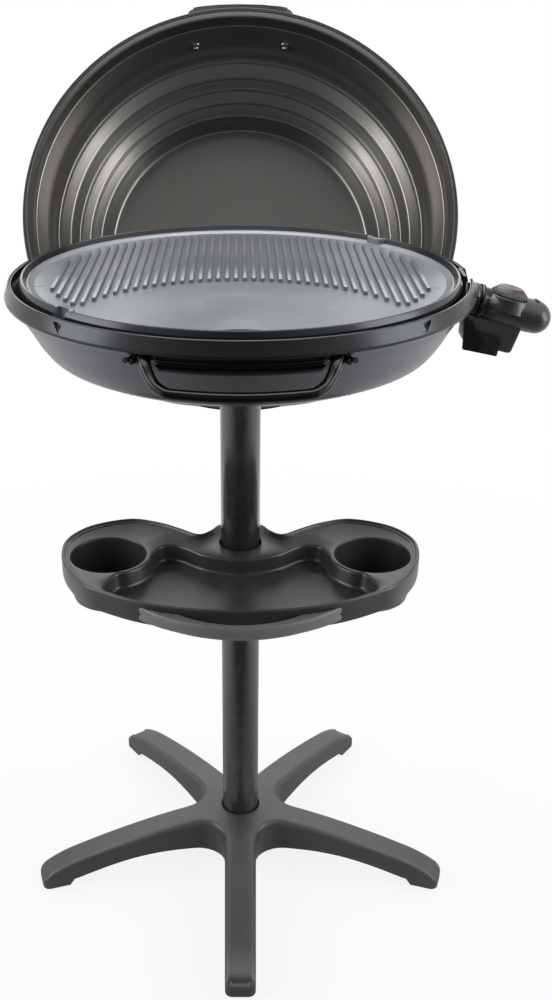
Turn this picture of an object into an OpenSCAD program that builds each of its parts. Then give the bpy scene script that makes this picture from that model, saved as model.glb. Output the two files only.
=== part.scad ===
// Free-standing electric grill: five-legged base, column, tray shelf, round bowl with a
// lift-out plate and plug-in heat control, and a round lid on side hinges.
// Millimetres, +Z up, origin on the column's axis at floor level, front towards -Y.
// The lid is drawn in its closed place and turned back about its hinge by lid_swing.

/* [Base] */
// Number of legs in the star
leg_count = 5; // [4:1:6]
// Distance from the column's axis to a leg's tip
leg_reach = 296; // [240:1:340]
// Width of a leg at its tip
leg_w = 40; // [30:1:52]
// Height of the hub's top face
hub_z = 70; // [60:1:90]
// Height of a leg's top at its tip
leg_tip_z = 32; // [26:1:40]
// Thickness of the rubber pad under each foot
pad_h = 4; // [2:0.5:8]
// Radius of a foot pad
pad_r = 13; // [8:0.5:16]

/* [Column] */
// Outer diameter of the column's tubes
tube_d = 50.8; // [42:0.1:60]
// Wall of the column's tubes
tube_wall = 1.5; // [1:0.1:3]
// Height at which the lower tube ends and the upper tube starts
tube_joint_z = 461; // [380:1:520]
// Length of the sleeve that joins the tubes from inside
coupler_l = 150; // [80:5:220]

/* [Shelf] */
// Height of the shelf's raised lip
shelf_z = 504; // [420:1:600]
// Width of the shelf
shelf_w = 463; // [420:1:500]
// Depth of the shelf from front to back
shelf_l = 241; // [225:1:260]
// Height of the shelf's skirt
skirt_h = 29; // [24:1:36]
// Wall of the moulded shelf
shelf_wall = 3; // [2:0.1:4]
// Depth of the basin below the deck
basin_d = 22; // [16:1:24]
// Radius of a cup well at its mouth
cup_r = 48.5; // [38:0.5:52]
// Depth of a cup well below the deck
cup_d = 58; // [35:1:70]
// How far the cup wells' centres lie in front of the column's axis
cup_y = 38; // [36:1:52]
// Widest gap between the shelf's front and the rail
rail_gap = 17.5; // [12:0.5:26]
// Height of the front rail
rail_h = 18; // [12:0.5:24]

/* [Bowl] */
// Radius of the bowl at the lower edge of its rim band
bowl_r = 277; // [262:1:280]
// Height of the bowl's rim
rim_z = 856; // [780:1:920]
// Depth of the bowl below its rim
bowl_d = 99; // [80:1:120]
// Wall of the bowl
bowl_wall = 2.4; // [1.6:0.1:4]
// Height of the rim band
band_h = 17; // [12:0.5:22]

/* [Plate] */
// Width of the gap between the plate's edge and the outside of the bowl's rim
plate_inset = 17; // [16:0.5:37]
// Thickness of the plate under its raised edge
plate_t = 12.7; // [10:0.1:18]
// Distance from one grill rib to the next
rib_pitch = 10.4; // [9:0.1:16]
// Width of a grill rib
rib_w = 4.8; // [3:0.1:6.5]
// Height of a grill rib
rib_h = 4.3; // [1.5:0.1:5.5]

/* [Lid] */
// How far the lid's flange reaches past the bowl's rim
lid_over = 16; // [14:0.5:24]
// Width of the lid's flange
flange_w = 14; // [10:0.5:14]
// Depth of the lid's dome above its rim plane
dome_d = 153; // [148:1:170]
// Wall of the lid
lid_wall = 2; // [1:0.1:3]
// Angle from closed to open
lid_swing = 123.15; // [90:0.05:125]
// How far inside the bowl's rear edge the hinge lies
hinge_in = 155.8; // [151:0.1:165]
// Finger room under the lid's handle
grip_room = 32; // [26:1:42]

/* [Heat control] */
// Downward tilt of the plug-in control
ctl_tilt = 14; // [8:0.5:18]
// Radius of the control's neck
neck_r = 21.5; // [18:0.1:21.5]
// Radius of the temperature dial
dial_r = 23.5; // [18:0.1:25]
// Radius of the dial's shaft
shaft_r = 3; // [2:0.1:5]

/* [Fits] */
// Gap between pieces of different bodies that rest on each other
seat_gap = 0.3; // [0.2:0.05:0.5]
// Radial clearance of a turning or plug-in fit
run_fit = 0.06; // [0.02:0.01:0.1]
// Radial clearance between pieces pushed together for good
push_fit = 0.1; // [0.02:0.01:0.2]

/* [Hidden] */
$fn = 72;
hull_fn = 32;
over = 1; // how far a cutting body runs past the face that it cuts

// Column
tube_r = tube_d / 2;
bore_r = tube_r - tube_wall;
hub_r = tube_r + 27;
hub_floor = 18; // underside of the hub
hub_web = 7; // thickness of the hub's floor, which the base bolt clamps
tube_seat = hub_floor + hub_web;
bolt_r = 5;
washer_t = 2;
washer_r = 14;
bolt_head_h = 6;
plug_h = 20;

// Shelf
deck_z = shelf_z - 4;
skirt_z = shelf_z - skirt_h;
lip_w = 4.5;
boss_r = tube_r + 13;
boss_z = deck_z - 30; // the shelf's boss stands on the collar at this height
collar_h = 16;
collar_screw_r = 2;
collar_screw_bite = 12; // length of a collar screw inside the shelf's boss
collar_pitch_r = tube_r + 7.5;
kx = shelf_w / 463; // stretches the shelf's outline sideways
ky = shelf_l / 241; // stretches it from front to back
cup_x = shelf_w / 2 - cup_r - 13.5;
cup_web = 7; // width of the deck between a cup well and the basin
shelf_half = [
    [0, -188.6], [60, -184], [117, -169], [163, -145], [193, -122], [222, -71], [231, -22],
    [223, 13], [196, 44], [148, 62], [108, 50], [80, 32], [56, 15], [41, 25], [28, 43], [0, 52]
];
basin_front = [[0, -181], [55, -177], [112, -161.5], [150, -142], [164, -131], [167, -121]];
basin_rear = [[104, -17], [90, -12], [73.5, -17.6], [48, -39], [15, -51.5], [0, -54]];
horn_angles = [255, 238, 218, 198, 178];

// Bowl
rim_in = 9; // the rim's top lies this far inside bowl_r
band_step = 9; // the wall starts this far inside bowl_r below the band
bowl_z = rim_z - bowl_d;
bowl_fall = (bowl_d - band_h - 4) / 78;
wall_line = [for (p = [[-band_step, 0], [-18, 15], [-27, 30], [-35.6, 45], [-47.4, 60], [-60, 67],
    [-74.5, 73], [-92, 77], [-108, 78]]) [bowl_r + p[0], rim_z - band_h - 4 - p[1] * bowl_fall]];
band_line = [[bowl_r - rim_in + 3, rim_z], [bowl_r, rim_z - band_h + 1],
    [bowl_r, rim_z - band_h - 1]];
bowl_line = concat(band_line, wall_line);
bowl_inner = concat([[bowl_r - rim_in + 3 - bowl_wall, rim_z],
    [bowl_r - bowl_wall, rim_z - band_h + bowl_wall + 1]], beside(wall_line, -bowl_wall));
socket_h = 58;
socket_z = bowl_z - socket_h;
socket_wall = 5;
flange_r = 62;
flange_t = 7;
socket_screw_r = 2.5;
socket_pitch_r = 50;
bowl_boss_h = 8; // bosses inside the bowl that take the socket's screws
bowl_boss_r = 6.5;
tray_wall = 1.2;
tray_line = [[-103, 0], [-81, 5], [-63, 12], [-52, 21], [-46, 33]]; // from bowl_r, rise over its floor

// Plate
plate_r = bowl_r - plate_inset;
plate_z = rim_z + 4.8; // top of the plate's raised edge
plate_floor = plate_z - plate_t;
bead_w = 8;
ledge_w = 10;
ledge_z = plate_z - 6.4;
face_z = plate_z - 9;
face_r = plate_r - bead_w - ledge_w;
rib_r = face_r - 18; // ribs end on a circle of this radius
smooth_r = rib_r - 33; // the smooth front area is part of a circle of this radius
smooth_y = 10 - rib_r; // whose centre lies this far in front of the axis
notch_angles = [44.5, 222.9]; // where the two lifting notches cut the plate's edge
notch_r = 10;
rib_half = floor((rib_r - 8) / rib_pitch - 0.5) + 0.5;
drain_w = 52;
drain_l = 20;
element_r = 3.6;
element_ring = 150;
element_z = plate_floor - element_r - seat_gap;
element_gap = 24; // half angle of the element's open stretch at the right
prong_r = 3;
prong_y = 9;

// Lid, closed
lid_r = bowl_r + lid_over;
lid_z = rim_z - 11; // rim plane of the closed lid
flange_in = lid_r - flange_w;
// radius and height of each crease of the dome's inner face, above the rim plane
crease = [for (p = [[279, 0], [277.5, 20], [270, 48], [262, 64], [254.5, 76.5], [240, 94],
    [229, 108], [216, 122], [202, 137], [188, 153]]) [p[0] - 279 + flange_in, p[1] * dome_d / 153]];
vent_y = lid_r - 38; // the lid's wall ends here at the back, so that it clears the column
vent_h = 70;
hinge_y = bowl_r - hinge_in;
hinge_z = lid_z - 37.1;
pin_r = 4;
ear_x = sqrt(pow((flange_in + lid_r) / 2, 2) - pow(hinge_y, 2)) - 0.5;
ear_t = 4;
ear_half = 12;
cheek_gap = 0.5;
cheek_r = 21;
bridge_w = 12;
handle_half = 75; // half length of the lid's handle
handle_h = 46; // height of the handle's screws over the rim plane
handle_screw_x = 63;
handle_bar = 13;
handle_y = lid_wall_r(handle_h) + grip_room + handle_bar;

// Front handle on the bowl
loop_r = 5.5;
loop_ring = bowl_r + 14;
loop_z = rim_z - 53;
loop_angle = 16;
grip_plate_h = 22;
grip_top = rim_z - band_h - 1.4;
grip_x = 112;

// Heat control, in its own tilted frame: x along the plug, z up, zero at the neck's mouth
ctl_x = bowl_r - 9;
ctl_z = rim_z - 31.8;
body_half_h = 19.5;
body_half_w = 27;
body_wall = 2.4;
neck_l = 24;
body_end = 107.5;
dial_x = 51;
dial_z = 17.6;
dial_h = 12;
gland_r = 6;

// Smooth closed line through the points p, with n steps from one point to the next
function smooth(p, n) = [
    for (i = [0 : len(p) - 1], j = [0 : n - 1])
        let (a = p[(i + len(p) - 1) % len(p)], b = p[i], c = p[(i + 1) % len(p)],
            d = p[(i + 2) % len(p)], t = j / n)
        (2 * b + (c - a) * t + (2 * a - 5 * b + 4 * c - d) * t * t
            + (3 * b - a - 3 * c + d) * t * t * t) / 2
];
// A half outline from front to back, made whole by its mirror image
function whole(p) = concat(p, [for (i = [len(p) - 2 : -1 : 1]) [-p[i][0], p[i][1]]]);
// The closed line p moved inwards by d
function inset(p, d) = [
    for (i = [0 : len(p) - 1])
        let (t = p[(i + 1) % len(p)] - p[(i + len(p) - 1) % len(p)])
        p[i] + d * [-t[1], t[0]] / norm(t)
];
// The open line p moved to its left by d
function beside(p, d) = [
    for (i = [0 : len(p) - 1])
        let (t = p[min(i + 1, len(p) - 1)] - p[max(i - 1, 0)])
        p[i] + d * [-t[1], t[0]] / norm(t)
];
function turned(p) = [for (i = [len(p) - 1 : -1 : 0]) p[i]];
// Radius of the lid's outer wall at height h over its rim plane
function lid_wall_r(h) = lookup(h, [for (c = crease) [c[1], c[0]]]) + lid_wall;
// Radius of the bowl's outer wall at height z
function bowl_wall_r(z) = lookup(z, [for (c = turned(bowl_line)) [c[1], c[0]]]);

shelf_line = smooth(whole([for (p = shelf_half) [p[0] * kx, p[1] * ky]]), 5);
horn = [for (a = horn_angles) [cup_x, -cup_y] + (cup_r + cup_web) * [cos(a), sin(a)]];
basin_line = smooth(whole(concat(
    [for (p = basin_front) [p[0] * kx, p[1] * ky]], horn,
    [for (p = basin_rear) [p[0] * kx, p[1] * ky]])), 4);

module slab(line, low, high) {
    translate([0, 0, low]) linear_extrude(high - low) polygon(line);
}
module ring(outer, inner, low, high) {
    translate([0, 0, low]) difference() {
        cylinder(r = outer, h = high - low);
        translate([0, 0, -over]) cylinder(r = inner, h = high - low + 2 * over);
    }
}
module screw(r, shank, head_r, head_h) { // points down, head on top, seat at z = 0
    translate([0, 0, -shank]) cylinder(r = r, h = shank + head_h / 2);
    cylinder(r = head_r, h = head_h);
}
module at_legs() {
    for (i = [0 : leg_count - 1]) rotate([0, 0, i * 360 / leg_count - 90]) children();
}
module both_sides() {
    children();
    mirror([1, 0, 0]) children();
}

// ---- Base and column ----
leg_in = tube_r + 13; // the legs start inside the hub's wall
leg_plan = concat(
    [for (r = [leg_in, hub_r * 0.9, hub_r + 4, hub_r + 14, hub_r + 30, leg_reach - 60,
        leg_reach - leg_w / 2]) [r, leg_w / 2 + 15 * exp(-r / 45)]],
    [for (a = [18 : 18 : 72]) [leg_reach - leg_w / 2 * (1 - sin(a)), leg_w / 2 * cos(a)]],
    [[leg_reach, 2.5]]
);
tip_drop = 5; // extra fall of a leg's top towards its tip
leg_top = [for (k = [0 : 8]) let (t = k / 8)
    [hub_r - 8 + t * (leg_reach - hub_r - 4),
        hub_z - (hub_z - leg_tip_z) * pow(t, 1.7) - tip_drop * pow(max(0, 5 * t - 4), 2)]];
leg_under = [for (k = [0 : 6]) let (t = k / 6)
    [leg_reach - 46 - t * (leg_reach - 46 - hub_r), pad_h + 9 + 13 * sin(180 * t) + 5 * t]];
leg_side = concat(
    [[leg_in, hub_z]], leg_top,
    [[leg_reach - 4, leg_tip_z - tip_drop - 5], [leg_reach, leg_tip_z - tip_drop - 11],
        [leg_reach, pad_h + 5],
        [leg_reach - 5, pad_h], [leg_reach - 40, pad_h]],
    leg_under, [[leg_in, hub_floor]]
);
module leg() {
    intersection() {
        translate([0, leg_w, 0]) rotate([90, 0, 0]) linear_extrude(2 * leg_w) polygon(leg_side);
        linear_extrude(hub_z + over)
            polygon(concat(leg_plan, [for (p = turned(leg_plan)) [p[0], -p[1]]]));
    }
}
module base_star() {
    color([0.2, 0.21, 0.23]) difference() {
        union() {
            at_legs() leg();
            translate([0, 0, hub_floor]) cylinder(r = hub_r - 6, h = hub_z - hub_floor);
        }
        translate([0, 0, tube_seat]) cylinder(r = tube_r + push_fit, h = hub_z);
        translate([0, 0, -over]) cylinder(r = bolt_r + push_fit, h = hub_z);
    }
}
module foot_pads() {
    color([0.08, 0.08, 0.08]) at_legs() translate([leg_reach - 24, 0, 0])
        cylinder(r = pad_r, h = pad_h);
}
module base_bolt() {
    head_z = hub_floor - washer_t - bolt_head_h;
    color([0.7, 0.7, 0.72]) {
        translate([0, 0, head_z]) cylinder(r = bolt_r * 1.9, h = bolt_head_h, $fn = 6);
        translate([0, 0, head_z]) cylinder(r = bolt_r, h = tube_seat + plug_h + 3 - head_z);
    }
}
module base_washer() {
    color([0.72, 0.72, 0.74])
        ring(washer_r, bolt_r + push_fit, hub_floor - washer_t, hub_floor);
}
module tube_plug() {
    color([0.6, 0.6, 0.62])
        ring(bore_r - push_fit, bolt_r + push_fit, tube_seat, tube_seat + plug_h);
}
module lower_tube() {
    color([0.22, 0.23, 0.25]) ring(tube_r, bore_r, tube_seat, tube_joint_z);
}
module upper_tube() {
    color([0.22, 0.23, 0.25]) ring(tube_r, bore_r, tube_joint_z, bowl_z - flange_t);
}
module tube_coupler() {
    color([0.5, 0.5, 0.52]) ring(bore_r - push_fit, bore_r - 2.5,
        tube_joint_z - coupler_l / 2, tube_joint_z + coupler_l / 2);
}

// ---- Shelf ----
module at_collar_screws() { // on the face between the shelf's boss and its collar
    for (a = [210, 330]) rotate([0, 0, a]) translate([collar_pitch_r, 0, boss_z]) children();
}
module at_cups() {
    for (s = [-1, 1]) translate([s * cup_x, -cup_y, 0]) children();
}
module shelf_tray() {
    color([0.2, 0.21, 0.24]) difference() {
        union() {
            slab(shelf_line, deck_z - shelf_wall, deck_z);
            difference() {
                slab(shelf_line, skirt_z, shelf_z);
                slab(inset(shelf_line, shelf_wall), skirt_z - over, deck_z - shelf_wall / 2);
                slab(inset(shelf_line, lip_w), deck_z - shelf_wall / 2, shelf_z + over);
            }
            slab(inset(basin_line, -shelf_wall), deck_z - basin_d - shelf_wall, deck_z);
            at_cups() translate([0, 0, deck_z - cup_d - shelf_wall])
                cylinder(r1 = cup_r - 4 + shelf_wall, r2 = cup_r + shelf_wall,
                    h = cup_d + shelf_wall);
            translate([0, 0, boss_z]) cylinder(r = boss_r, h = deck_z - boss_z);
        }
        slab(basin_line, deck_z - basin_d, shelf_z + over);
        at_cups() translate([0, 0, deck_z - cup_d]) {
            cylinder(r1 = cup_r - 4, r2 = cup_r, h = cup_d);
            translate([0, 0, cup_d]) cylinder(r = cup_r, h = over);
        }
        translate([0, 0, boss_z - over])
            cylinder(r = tube_r + push_fit * 3, h = shelf_z - boss_z + 2 * over);
        rail_pin_hole();
        at_collar_screws() translate([0, 0, -over])
            cylinder(r = collar_screw_r + push_fit, h = collar_screw_bite + 2 * over);
    }
}
rail_front = 199 * ky + rail_gap; // the rail's outer face at its middle
rail_tip = [121 * kx, 167 * ky];
rail_bar = 10; // thickness of the rail at its middle
rail_window = [72 * kx, 181 * ky]; // the gap behind the rail ends here, on the skirt
rail_z = skirt_z + 4;
rail_pin_x = 100 * kx;
rail_pin_z = rail_z + rail_h / 2;
rail_pin_r = 1.6;
// Radius of the arc through [0, -front] and [+-tip[0], -tip[1]]
function arc_r(front, tip) = (tip[0] * tip[0] + pow(front - tip[1], 2)) / (2 * (front - tip[1]));
rail_ring = arc_r(rail_front, rail_tip);
window_ring = arc_r(rail_front - rail_bar, rail_window);
module rail_pin_hole() {
    both_sides() translate([rail_pin_x, -rail_front, rail_pin_z]) rotate([-90, 0, 0])
        translate([0, 0, 3]) cylinder(r = rail_pin_r + push_fit, h = rail_front - 156 * ky);
}
module shelf_rail() {
    color([0.28, 0.29, 0.31]) difference() {
        translate([0, -rail_front + rail_ring, rail_z]) cylinder(r = rail_ring, h = rail_h);
        translate([0, -rail_front + rail_bar + window_ring, rail_z - over])
            cylinder(r = window_ring, h = rail_h + 2 * over);
        slab(inset(shelf_line, -push_fit), skirt_z - over, shelf_z + over);
        translate([-shelf_w, -rail_tip[1], 0]) cube([2 * shelf_w, shelf_w, shelf_z + over]);
        translate([0, -rail_front + rail_ring, rail_z + rail_h * 0.62]) // groove along its face
            ring(rail_ring + over, rail_ring - 1.5, 0, 2.5);
        rail_pin_hole();
    }
}
module rail_pins() {
    color([0.6, 0.6, 0.62]) both_sides()
        translate([rail_pin_x, -171 * ky, rail_pin_z]) rotate([90, 0, 0])
        cylinder(r = rail_pin_r, h = 9);
}
lug_w = 18; // width over both clamping lugs
lug_l = 14; // how far they stand out of the collar
clamp_r = 2.5;
clamp_slit = 3;
module shelf_collar() {
    color([0.17, 0.17, 0.18]) difference() {
        union() {
            translate([0, 0, boss_z - collar_h]) cylinder(r = boss_r, h = collar_h);
            translate([-lug_w / 2, tube_r + 6, boss_z - collar_h])
                cube([lug_w, boss_r - tube_r - 6 + lug_l, collar_h]);
        }
        translate([0, 0, boss_z - collar_h - over])
            cylinder(r = tube_r + push_fit, h = collar_h + 2 * over);
        translate([-clamp_slit / 2, 0, boss_z - collar_h - over])
            cube([clamp_slit, 2 * boss_r, collar_h + 2 * over]);
        translate([-lug_w, boss_r + lug_l / 2, boss_z - collar_h / 2]) rotate([0, 90, 0])
            cylinder(r = clamp_r + push_fit, h = 2 * lug_w);
        at_collar_screws() translate([0, 0, -collar_h - over])
            cylinder(r = collar_screw_r + push_fit, h = collar_h + 2 * over);
    }
}
module collar_screws() {
    color([0.7, 0.7, 0.72]) at_collar_screws() translate([0, 0, -collar_h]) rotate([180, 0, 0])
        screw(collar_screw_r, collar_h + collar_screw_bite, 2 * collar_screw_r, 2.5);
}
module collar_clamp_bolt() {
    color([0.7, 0.7, 0.72]) translate([0, boss_r + lug_l / 2, boss_z - collar_h / 2])
        rotate([0, 90, 0]) {
        translate([0, 0, -lug_w / 2]) cylinder(r = clamp_r, h = lug_w + 6);
        translate([0, 0, -lug_w / 2 - 4]) cylinder(r = clamp_r * 1.8, h = 4);
        translate([0, 0, lug_w / 2]) cylinder(r = clamp_r * 1.9, h = 4, $fn = 6);
    }
}

// ---- Bowl ----
module at_socket_screws() {
    for (a = [45 : 90 : 315]) rotate([0, 0, a]) translate([socket_pitch_r, 0, 0]) children();
}
module bowl_socket() {
    color([0.15, 0.15, 0.16]) difference() {
        union() {
            translate([0, 0, socket_z]) cylinder(r = tube_r + socket_wall, h = socket_h);
            translate([0, 0, bowl_z - flange_t]) cylinder(r = flange_r, h = flange_t);
        }
        translate([0, 0, socket_z - over])
            cylinder(r = tube_r + push_fit, h = socket_h - flange_t + over);
        translate([0, 0, socket_z]) cylinder(r = bore_r - 6, h = socket_h + over);
        at_socket_screws() translate([0, 0, socket_z]) cylinder(r = socket_screw_r + push_fit,
            h = socket_h + over);
    }
}
module socket_screws() {
    color([0.7, 0.7, 0.72]) at_socket_screws() translate([0, 0, bowl_z - flange_t])
        rotate([180, 0, 0])
        screw(socket_screw_r, flange_t + bowl_boss_h - 2, 2 * socket_screw_r, 3);
}
module control_frame() {
    translate([ctl_x, 0, ctl_z]) rotate([0, ctl_tilt, 0]) children();
}
notch_fit = 3; // room round the control's neck in the bowl's notch
rest_in = bowl_r - 33; // the plate's rests reach inwards to this radius
rest_w = 18;
rest_z = rim_z - 30;
plate_seat = plate_floor - seat_gap;
module at_plate_rests() {
    for (a = [55, 125, 235, 305]) rotate([0, 0, a]) children();
}
module bowl_shell() {
    color([0.33, 0.34, 0.36]) difference() {
        union() {
            rotate_extrude() polygon(concat([[0, bowl_z]], turned(bowl_line), bowl_inner,
                [[0, bowl_z + bowl_wall]]));
            at_socket_screws() translate([0, 0, bowl_z])
                cylinder(r = bowl_boss_r, h = bowl_boss_h);
            at_plate_rests() translate([0, rest_w / 2, 0]) rotate([90, 0, 0])
                linear_extrude(rest_w) polygon([[rest_in, rest_z], [bowl_wall_r(rest_z) - 1, rest_z],
                    [bowl_wall_r(rest_z + 9) - 1, rest_z + 9], [rest_in + 19, plate_seat],
                    [rest_in, plate_seat]]);
        }
        at_socket_screws() translate([0, 0, bowl_z - over])
            cylinder(r = socket_screw_r + push_fit, h = bowl_boss_h + over - 1);
        translate([bowl_r - 50, 0, ctl_z]) rotate([90, 0, 90]) linear_extrude(70) {
            circle(r = neck_r + notch_fit);
            translate([-neck_r - notch_fit, 0]) square([2 * (neck_r + notch_fit), bowl_d]);
        }
        for (a = [-41, 221]) rotate([0, 0, a]) translate([bowl_r - 1, 0, rim_z])
            rotate([0, -18, 0]) cylinder(r = 9, h = 22, center = true);
        handle_screw_places() translate([0, 0, -20]) cylinder(r = 1.6, h = 20);
        both_sides() bracket_rivet_places() translate([0, 0, -rivet_head])
            cylinder(r = rivet_r + push_fit, h = 20);
    }
}
module drip_tray() { // lies loose on the bosses
    floor_z = bowl_z + bowl_boss_h + seat_gap;
    line = [for (p = tray_line) [bowl_r + p[0], floor_z + p[1]]];
    color([0.62, 0.63, 0.64]) rotate_extrude() polygon(concat([[0, floor_z]], line,
        turned(beside(line, tray_wall)), [[0, floor_z + tray_wall]]));
}
loop_root = [grip_x - 9, -sqrt(pow(bowl_r - 6, 2) - pow(grip_x - 9, 2)), grip_top - 7];
loop_arc = [for (a = [-loop_angle : 2 : loop_angle]) [loop_ring * sin(a), -loop_ring * cos(a), loop_z]];
module front_handle() {
    low = grip_top - grip_plate_h;
    wall_top = bowl_wall_r(grip_top) + push_fit * 3;
    wall_low = bowl_wall_r(low) + push_fit * 3;
    rib_out = 5; // the grip plate's two ribs stand out this far
    function face(h) = wall_low + 4 + h * (wall_top - wall_low) / grip_plate_h;
    color([0.07, 0.07, 0.08]) {
        difference() {
            rotate([0, 0, -90 - 25.5]) rotate_extrude(angle = 51) polygon(concat(
                [[wall_low, low], [wall_low + 4, low]],
                [for (h = [5, 14]) each [[face(h), low + h], [face(h) + rib_out, low + h],
                    [face(h) + rib_out, low + h + 2], [face(h + 2), low + h + 2]]],
                [[wall_top + 4, grip_top], [wall_top, grip_top]]));
            bowl_body(push_fit * 2);
            handle_screw_places() translate([0, 0, -30]) cylinder(r = 1.6, h = 60);
        }
        tube_along(concat([[-loop_root[0], loop_root[1], loop_root[2]]], loop_arc, [loop_root]),
            loop_r, 12);
    }
}
module bowl_body(grow) { // the bowl below its band, filled and grown sideways
    rotate_extrude() polygon(concat([[0, bowl_z]],
        [for (p = turned(bowl_line)) if (p[1] < rim_z - band_h) p + [grow, 0]],
        [[0, rim_z - band_h]]));
}
handle_screw_out = 9.43; // from the bowl's wall to the middle of the screw
handle_screw_y = -sqrt(pow(bowl_wall_r(loop_z + 25), 2) - pow(grip_x - 1, 2)) - handle_screw_out;
module handle_screw_places() {
    both_sides() translate([grip_x - 1, handle_screw_y, grip_top - 7])
        rotate([90, 0, 25]) children();
}
module handle_screws() {
    color([0.5, 0.5, 0.52]) handle_screw_places() {
        translate([0, 0, -12]) cylinder(r = 1.5, h = 20);
        translate([0, 0, 7]) cylinder(r = 3, h = 2);
    }
}

// ---- Hinge ----
// The ear's arm turns between two faces of the bracket's bridge, which stop it at both ends.
module hinge_side(x0, x1) { // side view drawn as y and z about the pin, from x0 to x1
    translate([x0, hinge_y, hinge_z]) rotate([90, 0, 90]) linear_extrude(x1 - x0) children();
}
module bridge_view() {
    reach = cheek_r + 3;
    c = ear_half + seat_gap;
    a = lid_swing - 90; // how far the open arm leans below the level
    // lower stop: a line parallel to the open arm
    foot = c / cos(a);
    difference() {
        union() {
            polygon([[-reach, 10], [-c, 10], [-c, -5], [-c, -reach], [-reach, -reach]]);
            polygon([[-c - 1, -foot + (c + 1) * tan(a) * 0.999], [6, -foot - 6 * tan(a)],
                [6, -reach], [-c - 1, -reach]]);
        }
        circle(r = ear_half + seat_gap);
    }
}
module hinge_bracket() {
    inner_x = ear_x - cheek_gap;
    outer_x = ear_x + ear_t + cheek_gap;
    wall_x = bowl_r - 72; // the bracket starts inside the bowl and is cut by its wall
    difference() {
        union() {
            hinge_side(inner_x - 7, inner_x) {
                circle(r = cheek_r);
                translate([-cheek_r - 3, -cheek_r - 3]) square([cheek_r + 9, cheek_r + 3]);
            }
            hinge_side(wall_x, inner_x - 6) translate([-18, -16]) square([36, 32]);
            hinge_side(outer_x, outer_x + 9) {
                circle(r = cheek_r - 3);
                translate([-cheek_r - 3, -cheek_r - 3]) square([cheek_r + 9, cheek_r + 3]);
            }
            hinge_side(inner_x - 1, outer_x + 1) bridge_view();
        }
        hinge_side(inner_x - 8, outer_x + 20) circle(r = pin_r + push_fit / 4);
        bowl_body(push_fit * 2);
        bracket_rivet_places() translate([0, 0, -6]) cylinder(r = rivet_r + push_fit, h = 80);
    }
}
rivet_r = 2;
rivet_z = hinge_z - 8;
rivet_head = 3; // a rivet's head starts this far inside the bowl's outer wall
rivet_l = 24;
module bracket_rivet_places() { // on the bowl's outer wall, pointing outwards
    for (y = [hinge_y - 12, hinge_y + 12])
        translate([sqrt(pow(bowl_wall_r(rivet_z), 2) - y * y), y, rivet_z])
        rotate([0, 90, 0]) children();
}
module hinge_bracket_right() { color([0.1, 0.1, 0.11]) hinge_bracket(); }
module hinge_bracket_left() { color([0.1, 0.1, 0.11]) mirror([1, 0, 0]) hinge_bracket(); }
module bracket_rivets() {
    color([0.6, 0.6, 0.62]) both_sides() bracket_rivet_places()
        translate([0, 0, -rivet_head]) cylinder(r = rivet_r, h = rivet_l);
}
module hinge_pins() {
    color([0.65, 0.65, 0.67]) both_sides()
        hinge_side(ear_x - cheek_gap - 7, ear_x + ear_t + cheek_gap + 11) circle(r = pin_r);
}

// ---- Plate and element ----
module grill_plate() {
    color([0.36, 0.38, 0.42]) difference() {
        union() {
            rotate_extrude() polygon([
                [0, plate_floor], [plate_r - 3, plate_floor], [plate_r, plate_floor + 4],
                [plate_r, plate_z - 2.5], [plate_r - 2.5, plate_z],
                [plate_r - bead_w + 2, plate_z], [plate_r - bead_w - 1.5, ledge_z],
                [face_r + 4, ledge_z - 0.6], [face_r, face_z], [0, face_z]]);
            for (i = [-rib_half : rib_half]) {
                x = i * rib_pitch;
                rear = sqrt(rib_r * rib_r - x * x);
                front = max(-rear, smooth_y + sqrt(max(0, smooth_r * smooth_r - x * x)));
                translate([x - rib_w / 2, front, face_z - over])
                    cube([rib_w, rear - front, rib_h + over]);
            }
        }
        translate([-drain_w / 2, 1 - face_r, plate_floor - over])
            cube([drain_w, drain_l, plate_t + over]);
        for (a = notch_angles) rotate([0, 0, a]) translate([plate_r + 1, 0, plate_floor - over])
            cylinder(r = notch_r, h = plate_t + 2 * over);
    }
}
prong_root = [ctl_x - 34 * cos(ctl_tilt), prong_y, ctl_z + 34 * sin(ctl_tilt) - 4];
element_ends = [[prong_root[0] + 1, prong_y, prong_root[2] - 3],
    [prong_root[0] - 6, prong_y + 2, prong_root[2] - 4], [ctl_x - 66, prong_y + 8, element_z],
    [element_ring * 1.12, element_ring * 0.22, element_z]];
element_path = concat(element_ends,
    [for (a = [element_gap : (360 - 2 * element_gap) / 40 : 361 - element_gap])
        [element_ring * cos(a), element_ring * sin(a), element_z]],
    [for (p = turned(element_ends)) [p[0], -p[1], p[2]]]);
module tube_along(path, r, sides) {
    last = len(path) - 1;
    rings = [for (i = [0 : last])
        let (t = path[min(i + 1, last)] - path[max(i - 1, 0)], u = cross([0, 0, 1], t),
            v = cross(t, u))
        for (k = [0 : sides - 1])
            path[i] + r * (cos(k * 360 / sides) * u / norm(u) + sin(k * 360 / sides) * v / norm(v))];
    polyhedron(rings, concat(
        [[for (k = [0 : sides - 1]) k]],
        [for (i = [0 : last - 1], k = [0 : sides - 1]) let (n = (k + 1) % sides)
            [i * sides + k, (i + 1) * sides + k, (i + 1) * sides + n, i * sides + n]],
        [[for (k = [sides - 1 : -1 : 0]) last * sides + k]]));
}
module heating_element() {
    color([0.3, 0.29, 0.28]) tube_along(element_path, element_r, 10);
}
module element_clips() {
    color([0.6, 0.6, 0.6]) for (a = [75, 135, 225, 285]) rotate([0, 0, a])
        difference() {
            translate([element_ring - 9, -4, element_z - element_r - 2])
                cube([18, 8, element_r * 2 + 2 + seat_gap]);
            rotate([0, 0, -20]) rotate_extrude(angle = 40)
                translate([element_ring, element_z]) circle(r = element_r + seat_gap);
        }
}
guard_x = plate_r + 1.2; // the block's guard stands between the plate and the bowl's rim
guard_t = 4;
guard_w = 40;
guard_h = 33;
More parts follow.
